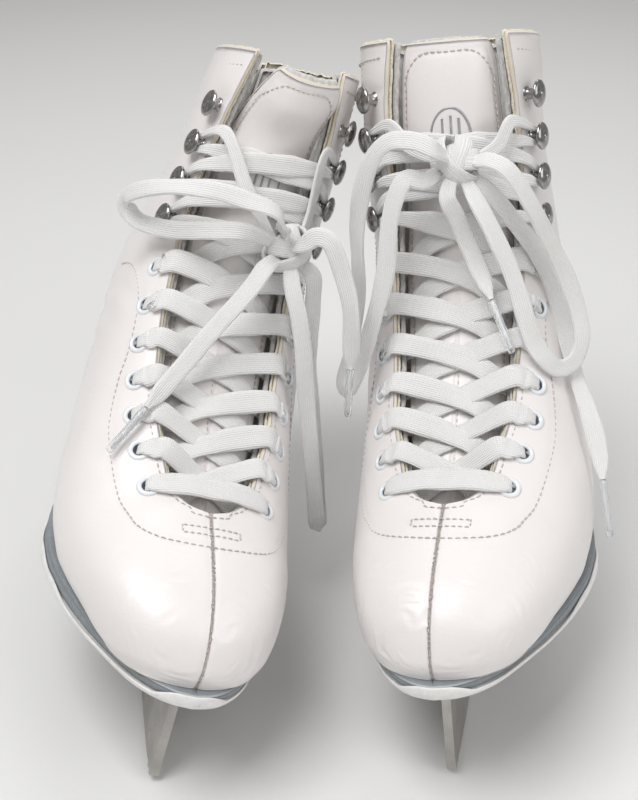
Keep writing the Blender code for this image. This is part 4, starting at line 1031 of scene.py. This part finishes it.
def leatherLift(section, turn, seed):
    # how far the leather stands off its pattern: fine toe creases, slow waves, the facing's second layer,
    # a dip along every seam and a soft roll under the collar
    base = skin(section, turn)
    run = np.interp(section, fine, ridgeRun) + np.zeros(base.shape[:-1])
    across = base[..., 0]
    gap = nearLine(run, across)
    lift = leather["waves"] * rough(base, 75.0, seed) * 0.6 + 0.12 * rough(base, 22.0, seed + 1)
    toe = np.clip((4.6 - section) / 1.0, 0, 1) * np.clip(section / 0.8, 0, 1)
    toe = toe * np.clip((55 - np.abs(across)) / 25, 0, 1)
    ripple = base[..., 1] - base[..., 2] * 0.5 + 1.6 * rough(base, 16.0, seed + 2)
    ripple = np.sin(2 * math.pi * ripple / leather["creasePitch"])
    lift += leather["crease"] * toe * ripple * np.clip(rough(base, 20.0, seed + 3) + 0.35, 0, 1)
    bend = np.exp(-((section - 9.2) / 1.2) ** 2) * np.clip(np.abs(turn) - 0.6, 0, 1)
    fold = base[..., 2] + 0.35 * base[..., 1] + 4 * rough(base, 40.0, seed + 4)
    lift += leather["fold"] * bend * np.sin(2 * math.pi * fold / leather["foldPitch"])
    lift += leather["facingStep"] * np.clip(0.5 - gap / 1.6, 0, 1)
    lift -= leather["stitchDip"] * np.exp(-((gap + 1.2) / 0.9) ** 2)
    middle = np.exp(-(across / leather["seamWidth"]) ** 2)
    lift -= leather["seamDip"] * middle * np.clip((5.0 - section) / 0.3, 0, 1)
    back = np.exp(-((math.pi - np.abs(turn)) * 14.0) ** 2) * (section > 12)
    lift -= leather["seamDip"] * back * 0.6
    lift += 0.5 * np.exp(-((section - 16.3) / 0.4) ** 2) - 0.35 * np.exp(-((section - 15.75) / 0.12) ** 2)
    return lift, base, run, across, gap


def wallGrid(side, rows, columns, end=math.pi):
    # sections and turns of one side, from the edge of the opening to an end turn, closer at the edge
    section = rows[:, None] + np.zeros((1, columns))
    first = np.abs(turnAt(rows, side * throatHalf(rows)))[:, None]
    share = (np.linspace(0, 1, columns) ** 1.15)[None, :]
    return section, side * np.clip(first + (end - first) * share, 0.001, math.pi)


def makeUpper(name, skate, side, word):
    # one half of the upper: leather, the raw canvas that peeps past its edge, and the felt lining
    body = name + "_skate"
    rows = np.concatenate([np.linspace(0, 4.7, 92)[:-1], np.linspace(4.7, 5.4, 22)[:-1],
                           np.linspace(5.4, last, 110)])
    section, turn = wallGrid(side, rows, 96)
    lift, base, run, across, gap = leatherLift(section, turn, 11 if side > 0 else 12)
    outer = wall(section, turn, -lift)
    inner = wall(section, turn, boot["leather"])
    low = np.clip((math.pi - np.abs(turn)) / 0.5, 0, 1)
    ahead = np.clip((7 - section) / 3, 0, 1)
    wear = np.clip((1 - low) * (0.45 + 0.55 * ahead) * (section < 11.6), 0, 1)
    wear += 0.35 * np.exp(-(gap / 2.5) ** 2) * (section < 6) + 0.6 * np.clip((section - 16.7) / 0.3, 0, 1)
    points, faces, marks = shell(outer, inner, {"wear": np.clip(wear, 0, 1)}, 3)
    piece = makePiece(f"{name}_upper_{word}_leather", standing(skate, points), faces, "leather", body,
                      marks)
    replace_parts(piece, f"{name}_upper_{word}")
    rows = np.concatenate([np.linspace(4.95, 5.6, 16)[:-1], np.linspace(5.6, last + 0.045, 120)])
    section, turn = wallGrid(side, rows, 70, math.pi * 0.985)
    chance = np.random.default_rng(5 if side > 0 else 6)
    peep = leather["canvasPeep"] + leather["fray"] * chance.uniform(-1, 1, len(rows))
    row = smoothRows(boot["rows"], rows)
    turn[:, 0] -= side * peep / row[:, 5]
    section[-1] += 0.018 * chance.uniform(-1, 1.4, 70)
    heel = np.clip(1 - np.abs(section - 13.0) / 1.9, 0, 1) ** 0.3 * (np.abs(section - 13.0) < 1.9)
    thin = leather["canvas"][1] - 0.7 * heel
    puff = 0.12 * rough(skin(section, turn), 5.0, 21)
    outer = wall(section, turn, leather["canvas"][0])
    points, faces, marks = shell(outer, wall(section, turn, thin - puff * (1 - heel)), {}, 3)
    makePiece(f"{name}_backing_{word}", standing(skate, points), faces, "canvas", body, marks)
    rows = np.linspace(4.3, last - 0.1, 130)
    end = np.interp(rows, (11.4, 12.4), (0.9, 0.997))[:, None] * math.pi
    section, turn = wallGrid(side, rows, 70, end)
    turn[:, 0] += side * 0.25 / row[0, 5] * chance.uniform(-1, 1, len(rows))
    section[-1] += 0.022 * chance.uniform(-1, 1.2, 70)
    nap = 0.22 * rough(skin(section, turn), 9.0, 31) + 0.35 * rough(skin(section, turn), 45.0, 32)
    roll = 1.1 * np.clip((section - 16.2) / 0.7, 0, 1) ** 2
    outer = wall(section, turn, leather["felt"][0])
    inner = wall(section, turn, leather["felt"][1] + nap * 0.6 + roll * 0.4)
    points, faces, marks = shell(outer, inner, {}, 5)
    piece = makePiece(f"{name}_lining_{word}_felt", standing(skate, points), faces, "felt", body,
                      marks)
    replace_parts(piece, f"{name}_lining_{word}")


def makeStitches(name, skate):
    # every stitch row of one upper, as one piece
    rows = []
    both = np.concatenate([seamLine, seamLine[:-1][::-1] * (1, -1)])
    rows.append(stitchRow(front, both, -0.25))
    # close to the opening's edge, round its foot and up both sides
    foot = []
    for r in (70, 48, 30, 18, 9, 4, 1.2):
        foot.append((r, float(throatHalf(sectionAt(r))) + 2.6))
    loop = np.array(foot + [(-1.6, 7.5), (-2.8, 0.0), (-1.6, -7.5)] + [(r, -a) for r, a in foot[::-1]])
    rows.append(stitchRow(front, loop, -0.45))
    # the small box of stitches that holds the tongue's foot
    half = stitching["boxHalf"]
    for r in stitching["boxRuns"]:
        rows.append(stitchRow(front, np.array([(r, half), (r, -half)]), -0.45, 2.7, 2.1, 0.7))
    for a in (half, -half):
        rows.append(stitchRow(front, np.array([(r, a) for r in stitching["boxEnds"]]), -0.45, 2.2, 1.9, 0.7))
    bottomRun = float(np.interp(0.35, fine, ridgeRun))
    seam = np.array([(-4.0, 0.0), (bottomRun, 0.0)])
    rows.append(stitchRow(front, seam, 0.05, stitching["zigPitch"], 2.2, 0.34, stitching["zigReach"]))
    rows.append(stitchRow(front, seam, 0.3, 2.2, 1.0, 0.3))
    for side in (1, -1):
        top = float(abs(turnAt(16.55, side * throatHalf(16.55))))
        collar = np.array([(16.62, side * (top + 0.08)), (16.62, side * 2.0), (16.62, side * 3.12)])
        rows.append(stitchRow(wall, collar, -0.6))
    rows.append(stitchRow(wall, np.array([(12.6, 3.1405), (16.5, 3.1405)]), 0.0, 2.4, 3.0, 0.6, 0.9))
    strip = np.array([(11.9, 2.62), (13.4, 2.78), (15.0, 2.86), (16.5, 2.9)])
    for side in (1, -1):
        rows.append(stitchRow(wall, strip * (1, side), -1.25))
    points, faces = joined(rows)
    makePiece(name + "_stitches", standing(skate, points), faces, "thread", name + "_skate")


def makeBackstay(name, skate):
    # a narrow strip of leather down the back seam, widening to the heel
    rows = np.linspace(11.6, 16.9, 80)
    half = np.interp(rows, (11.6, 12.4, 13.5, 15, 17), (0.75, 0.6, 0.44, 0.36, 0.3))
    share = np.linspace(-1, 1, 31)
    section = rows[:, None] + np.zeros((1, 31))
    turn = (math.pi - np.abs(share)[None] * half[:, None]) * np.where(share >= 0, 1.0, -1.0)[None]
    base = skin(section, turn)
    swell = 0.1 * rough(base, 30.0, 41)
    points, faces, marks = shell(skin(section, turn, -1.1 - swell), skin(section, turn, -0.35),
                                 {"wear": 0.2 + 0 * section}, 3)
    makePiece(name + "_backstay", standing(skate, points), faces, "leather", name + "_skate",
              marks)


# turned metal pieces as radius and height in mm
metal = {"ring": ((0.3, 0.16), (2.7, 0.2), (3.0, 0.55), (3.5, 1.0), (4.2, 1.05), (4.9, 0.6), (5.1, 0.1),
                  (5.0, -0.6), (0.5, -0.6)),
         "hook": ((0.6, -1.4), (2.9, -1.4), (3.1, -0.2), (2.9, 0.3), (2.4, 0.6), (2.2, 1.2), (2.1, 3.2),
                  (2.5, 4.2), (4.2, 4.7), (5.1, 5.2), (5.45, 5.8), (5.25, 6.5), (4.3, 7.2), (2.6, 7.7),
                  (0.6, 7.9)),
         "rivet": ((0.4, 0.0), (3.6, 0.0), (3.9, 0.35), (3.6, 0.7), (2.2, 0.8), (1.6, 0.45), (0.3, 0.4))}


def turnedOn(places, outward, along, profile, sides=26, oval=1.0):
    # the same turned body on many places at once; oval stretches it up the boot
    across = np.cross(along, outward)
    angle = np.arange(sides) * 2 * math.pi / sides
    profile = np.array(profile, float)
    parts = []
    for here, out, up, side in zip(places, outward, along, across):
        ring = np.cos(angle)[:, None] * side + np.sin(angle)[:, None] * up * oval
        parts.append(loft(here + out * profile[:, 1, None, None] + ring[None] * profile[:, 0, None, None]))
    return joined(parts), profile


def makeFittings(name, skate):
    # enamelled eyelets, hooks and the rivets inside, on both sides
    body = name + "_skate"
    for side, word in ((1, "outer"), (-1, "inner")):
        runs = np.array([levelRun(level) for level in range(lace["eyelets"] + 4)])
        holes = np.array([side * holeAcross(run, side) for run in runs])
        here, along, sideways, outward = frames(front, runs, holes, -0.35)
        count = lace["eyelets"]
        (points, faces), profile = turnedOn(here[:count], outward[:count], along[:count], metal["ring"], 32)
        # well is 1 on the eyelet's flat floor, which the enamel paints near black as painted shade of the
        # hole
        well = np.interp(np.arange(len(profile)), (0, 1, 2, 3), (1.0, 1.0, 0.35, 0.0))
        marks = np.tile(np.concatenate([np.repeat(well, 32), [1.0, 0.0]]), count)
        makePiece(f"{name}_eyelets_{word}", standing(skate, points), faces, "enamel", body,
                  {"edge": marks})
        for number in range(4):
            spot = slice(count + number, count + number + 1)
            (points, faces), _ = turnedOn(here[spot], outward[spot], along[spot], metal["hook"], 30, 1.12)
            hook = f"{name}_hook_{word}_{number + 1}"
            piece = makePiece(hook + "_cap", standing(skate, points), faces, "chrome", body)
            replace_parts(piece, hook)
        here, along, sideways, outward = frames(front, runs, holes, boot["wall"] - 0.1)
        (points, faces), _ = turnedOn(here, -outward, along, metal["rivet"], 20)
        makePiece(f"{name}_rivets_{word}", standing(skate, points), faces, "chrome", body)


# tongue: sections it spans, half widths at sections, and each mark's run, height and width
tongue = {"first": 4.75, "last": 16.9, "face": 1.8, "pad": 5.0, "under": 0.15, "gap": 0.65,
          "at": (4.75, 5.7, 6.5, 9.0, 15.0, 16.9), "half": (10.0, 20.0, 27.0, 32.0, 30.5, 28.5),
          "seam": 3.0, "mark": {"left": (171.0, 11.5, 12.0), "right": (160.0, 11.5, 12.0)},
          "bars": (-5.0, 0.0, 5.0), "barEnd": 3.2}


def tongueSkin(skate, section, turn, depth):
    # the boot's surface at a depth, its free top leaning forward
    shape = skate["tongue"]
    layer = skin(section, turn, depth)
    part = np.clip((layer[..., 2] - shape["from"]) / shape["over"], 0.0, 1.0)
    angle = math.radians(shape["lean"]) * part * part * (3 - 2 * part)
    y, z = layer[..., 1] - shape["foot"], layer[..., 2] - shape["from"]
    bent = layer.copy()
    bent[..., 0] = layer[..., 0] - shape["sway"] * part * part
    bent[..., 1] = shape["foot"] + y * np.cos(angle) - z * np.sin(angle)
    bent[..., 2] = shape["from"] + y * np.sin(angle) + z * np.cos(angle)
    return bent


def tongueHalf(section):
    # half width of the tongue, with rounded top corners
    ends = np.clip((tongue["last"] + 0.02 - section) / 0.8, 0, 1)
    return np.interp(section, tongue["at"], tongue["half"]) * (0.8 + 0.2 * np.sqrt(1 - (1 - ends) ** 2))


def makeTongue(name, skate):
    # leather face, felt pad, stitches and the mark, all on the tongue's own body
    rows = np.linspace(tongue["first"], tongue["last"], 150)
    share = np.linspace(-1, 1, 81)
    half = tongueHalf(rows)
    section = rows[:, None] + np.zeros((1, 81))
    turn = np.abs(turnAt(section, share[None] * half[:, None])) * np.where(share >= 0, 1.0, -1.0)[None]
    base = skin(section, turn)
    fromEdge = np.minimum((1 - np.abs(share))[None] * half[:, None], (tongue["last"] - section) * 13.0)
    puff = 0.3 * rough(base, 60.0, 51) + 0.4 * (1 - (1 - np.clip(fromEdge / 9.0, 0, 1)) ** 2)
    dip = 0.35 * np.exp(-((fromEdge - tongue["seam"]) / 0.8) ** 2)
    dip = dip + 0.5 * np.exp(-(base[..., 0] / 1.1) ** 2) * np.clip((9.5 - section) / 0.5, 0, 1)
    outer = tongueSkin(skate, section, turn, lace["room"] - puff + dip)
    inner = tongueSkin(skate, section, turn, lace["room"] + tongue["face"])
    points, faces, marks = shell(outer, inner, {"wear": 0.1 + 0 * section}, 3)
    body = name + "_tongue"
    piece = makePiece(name + "_tongue_leather", standing(skate, points), faces, "leather", body,
                      marks)
    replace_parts(piece, name + "_tongue_face")
    top = lace["room"] + tongue["face"] + tongue["under"]
    foot = top + tongue["gap"] + tongue["pad"]
    soft = 0.35 * rough(base, 12.0, 52) + 1.6 * np.clip(1 - fromEdge / 6.0, 0, 1) ** 2
    outer = tongueSkin(skate, section, turn, top)
    points, faces, marks = shell(outer, tongueSkin(skate, section, turn, foot - soft), {}, 5)
    piece = makePiece(name + "_tongue_felt", standing(skate, points), faces, "felt", body, marks)
    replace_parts(piece, name + "_tongue_pad")

    def onTongue(run, across, depth):
        s = sectionAt(run)
        return tongueSkin(skate, s, turnAt(s, across), lace["room"] - 0.35 + depth)

    rim = []
    for s in np.linspace(7.0, 16.1, 24):
        rim.append((float(np.interp(s, fine, ridgeRun)), float(tongueHalf(s)) - tongue["seam"]))
    topRun = float(np.interp(tongue["last"] - 0.24, fine, ridgeRun))
    rim += [(topRun - 3.0, 21.5), (topRun, 14.0), (topRun, 0.0)]
    line = np.array(rim + [(r, -a) for r, a in rim[:-1][::-1]])
    rows = [stitchRow(onTongue, line, -0.1, 3.0, 2.3, 0.7),
            stitchRow(onTongue, np.array([(14.0, 1.6), (80.0, 1.6)]), 0.0, 3.0, 2.3, 0.5)]
    points, faces = joined(rows)
    makePiece(name + "_tongue_stitches", standing(skate, points), faces, "thread", body)
    # the raised mark: an oval ring with three plain bars
    middle, tall, wide = tongue["mark"][name]
    angle = np.linspace(0, 2 * math.pi, 73)[:-1]
    lines = [(middle + tall * np.sin(angle), wide * np.cos(angle), True)]
    for a in tongue["bars"]:
        reach = tall * math.sqrt(1 - (a / wide) ** 2) - tongue["barEnd"]
        lines.append((middle + np.linspace(-reach, reach, 24), np.full(24, a), False))
    parts = []
    for u, v, closed in lines:
        place, alongU, alongV, outward = frames(onTongue, u, v, -0.15)
        ahead = np.roll(place, -1, 0) - np.roll(place, 1, 0) if closed else np.gradient(place, axis=0)
        ahead = unit(ahead)
        side = np.cross(ahead, outward)
        around = np.arange(8) * math.pi / 4
        rings = (place[:, None] + side[:, None] * (0.55 * np.cos(around))[None, :, None]
                 + outward[:, None] * (0.35 * np.sin(around))[None, :, None])
        parts.append(loft(rings, closed))
    points, faces = joined(parts)
    makePiece(name + "_tongue_mark", standing(skate, points), faces, "foil", body)


# plan as y, half width outer and inner, like the CAD's; the rim's rise along the side, ball and toe
sole = {"plan": np.array([
    (-3.4, 0.3, 0.3), (-2.6, 5.0, 4.5), (-1.0, 10.0, 9.0), (3.0, 16.5, 14.5), (11.0, 24.0, 21.0),
    (24.0, 32.0, 27.5), (40.0, 41.0, 33.5), (58.0, 49.5, 38.0), (80.0, 56.5, 41.5), (102.0, 58.5, 42.0),
    (128.0, 53.0, 40.0), (155.0, 43.5, 37.0), (182.0, 38.0, 35.5), (186.0, 37.5, 35.4),
    (210.0, 36.0, 35.0), (232.0, 34.5, 33.5), (248.0, 30.0, 29.0), (260.0, 21.0, 20.0),
    (266.5, 10.0, 9.5), (268.3, 0.4, 0.4)]),
    "underY": (-6.0, 0.0, 20.0, 40.0, 60.0, 80.0, 100.0, 120.0, 140.0, 170.0, 184.0),
    "underZ": (14.2, 13.2, 9.6, 6.8, 4.9, 4.2, 4.2, 6.6, 14.0, 27.0, 31.0), "heelFront": 186.0,
    # each step of a side wall: how far out, and its share of the height
    "wall": ((-6.0, 1.0), (-0.3, 1.0), (0.35, 0.97), (0.7, 0.9), (0.65, 0.84), (0.15, 0.80),
             (0.15, 0.76), (0.6, 0.72), (0.75, 0.6), (0.55, 0.3), (0.3, 0.12), (-0.4, 0.02), (-6.0, 0.0)),
    "rubbed": (0.2, 0.6, 1, 1, 0.6, 0, 0, 0.2, 0, 0, 0, 0, 0),
    # each step of the outsole: how far out, its share of the rim's rise, and its height
    "rim": ((-6.0, 0, 0), (0.2, 0, 0), (0.8, 0, 0.1), (0.85, 0.9, 0), (1.05, 1.0, 0), (1.4, 0.85, 0),
            (1.6, 0.4, 0), (1.55, 0, -0.7), (1.2, 0, -1.6), (0.2, 0, -2.8), (-1.2, 0, -3.6),
            (-6.0, 0, -3.8)),
    "rimTop": 0.5, "rimBall": 4.6, "rimToe": 4.2,
    # screws, as half their distance apart and y; a screw head as radius and height
    "screws": ((8, 38), (14, 62), (12, 98), (9, 212), (10, 246)),
    "screwHead": ((0.4, 0.0), (3.1, 0.0), (3.3, 0.3), (2.6, 1.0), (1.1, 1.3), (0.9, 0.7), (0.3, 0.7))}
seatLine = smoothRows(boot["rows"], np.linspace(0.0, 11.3, 120))[:, 2:4]
seatLine = np.concatenate([boot["rows"][:1, 0:2], seatLine])


def seatZ(y):
    # height of the upper's lower edge
    return np.interp(y, seatLine[:, 0], seatLine[:, 1])


def underZ(y):
    # underside of the midsole, flat under the heel
    return np.where(y >= sole["heelFront"] - 2.0, 0.5, np.interp(y, sole["underY"], sole["underZ"]))


def soleOutline(low, high, count=110):
    # closed line round the plan, outer side first; the count is for one side
    at = np.linspace(0, len(sole["plan"]) - 1, 1200)
    rows = smoothRows(sole["plan"], at)
    keep = (rows[:, 0] >= low) & (rows[:, 0] <= high)
    rows = rows[keep]
    run = np.concatenate([[0], np.cumsum(np.linalg.norm(np.diff(rows[:, :2], axis=0), axis=1))])
    stops = np.linspace(0, run[-1], count)
    y, outer, inner = (np.interp(stops, run, rows[:, i]) for i in range(3))
    line = np.concatenate([np.stack([outer, y], -1), np.stack([-inner, y], -1)[::-1]])
    ahead = np.roll(line, -1, 0) - np.roll(line, 1, 0)
    normal = unit(np.stack([ahead[:, 1], -ahead[:, 0]], -1))
    return line, normal


def soleBody(line, normal, offsets, heights):
    # wall rings from the outline, closed above and below by strips from side to side
    rings = np.stack([np.concatenate([line + normal * np.asarray(out)[..., None], np.asarray(z)[:, None]], 1)
                      for out, z in zip(offsets, heights)], 1)
    count, steps = rings.shape[:2]
    faces = gridFaces(count, steps, 0, True, False)
    half = count // 2
    a = np.arange(half - 1)
    for step in (0, steps - 1):
        strip = np.stack([a, a + 1, count - 2 - a, count - 1 - a], -1) * steps + step
        faces = np.concatenate([faces, strip[:, ::-1] if step else strip])
    return rings.reshape(-1, 3), faces


def makeSole(name, skate):
    # moulded midsole with a groove, outsole whose rim rises at ball and toe, and the plates' screws
    body = name + "_skate"
    line, normal = soleOutline(-4.0, 269.0, 170)
    y = line[:, 1]
    top, low = seatZ(y) - 0.35, underZ(y)
    uneven = 0.15 * rough(np.concatenate([line, line[:, :1] * 0], 1), 60.0, 61)
    offsets = [np.full(len(y), out) + uneven for out, _ in sole["wall"]]
    heights = [low + (top - low) * share for _, share in sole["wall"]]
    points, faces = soleBody(line, normal, offsets, heights)
    wear = np.repeat(np.clip((20 - y) / 30, 0, 1), len(sole["wall"])) * np.tile(sole["rubbed"], len(y))
    piece = makePiece(name + "_midsole_moulded", standing(skate, points), faces, "midsole", body,
                      {"wear": wear})
    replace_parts(piece, name + "_midsole")
    line, normal = soleOutline(-4.0, 181.5, 150)
    x, y = line[:, 0], line[:, 1]
    under = underZ(y) - 0.4
    ball = np.exp(-((y - 84.0) / 20.0) ** 2) * (x > 0) * (0.75 + 0.25 * np.sin(y / 4.6))
    ball += 0.5 * np.exp(-((y - 90.0) / 22.0) ** 2) * (x < 0)
    toe = np.clip(1.25 - (np.abs(x - 1.0) / 13.0) ** 2, 0, 1) * (y < 20)
    rise = sole["rimTop"] * (0.75 + 0.25 * np.sin(y / 9.0)) * (y < 150)
    rise = rise + sole["rimBall"] * ball + sole["rimToe"] * toe
    more = 1 + 0.35 * ball + 0.2 * toe
    offsets = [out * more if out > 1 else np.full(len(y), out) for out, _, _ in sole["rim"]]
    heights = [under + share * rise + z for _, share, z in sole["rim"]]
    points, faces = soleBody(line, normal, offsets, heights)
    piece = makePiece(name + "_outsole_rim", standing(skate, points), faces, "outsole", body)
    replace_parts(piece, name + "_outsole")
    heads = np.array([(x * side, y) for x, y in sole["screws"] for side in (1, -1)], float)
    spots = np.concatenate([heads, np.full((len(heads), 1), -2.85)], 1)
    down, ahead = np.tile([0.0, 0, -1], (len(heads), 1)), np.tile([0.0, 1, 0], (len(heads), 1))
    (points, faces), _ = turnedOn(spots, down, ahead, sole["screwHead"], 18)
    makePiece(name + "_screws", standing(skate, points), faces, "steel", body)


# CAD nodes that keep their own shape and only get a finish
plainNodes = {"blade": "steel", "toe_plate": "steel", "heel_plate": "steel", "toe_puff": "board",
              "heel_counter": "board", "lasting_board": "board", "insole": "insole"}
for name, skate in skates.items():
    for side, word in ((1, "outer"), (-1, "inner")):
        makeUpper(name, skate, side, word)
    makeBackstay(name, skate)
    makeStitches(name, skate)
    makeFittings(name, skate)
    makeTongue(name, skate)
    makeSole(name, skate)
    for node, look in plainNodes.items():
        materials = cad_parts[f"{name}_{node}"].data.materials
        materials.clear()
        materials.append(finish[look])
    print(name, "skate built")


def makeFloor():
    # wide pale floor, in metres
    mesh = bpy.data.meshes.new("floor")
    mesh.from_pydata([(-4, -4, 0), (4, -4, 0), (4, 6, 0), (-4, 6, 0)], [], [(0, 1, 2, 3)])
    mesh.materials.append(finish["floor"])
    floor = bpy.data.objects.new("floor", mesh)
    bpy.context.scene.collection.objects.link(floor)


makeFloor()
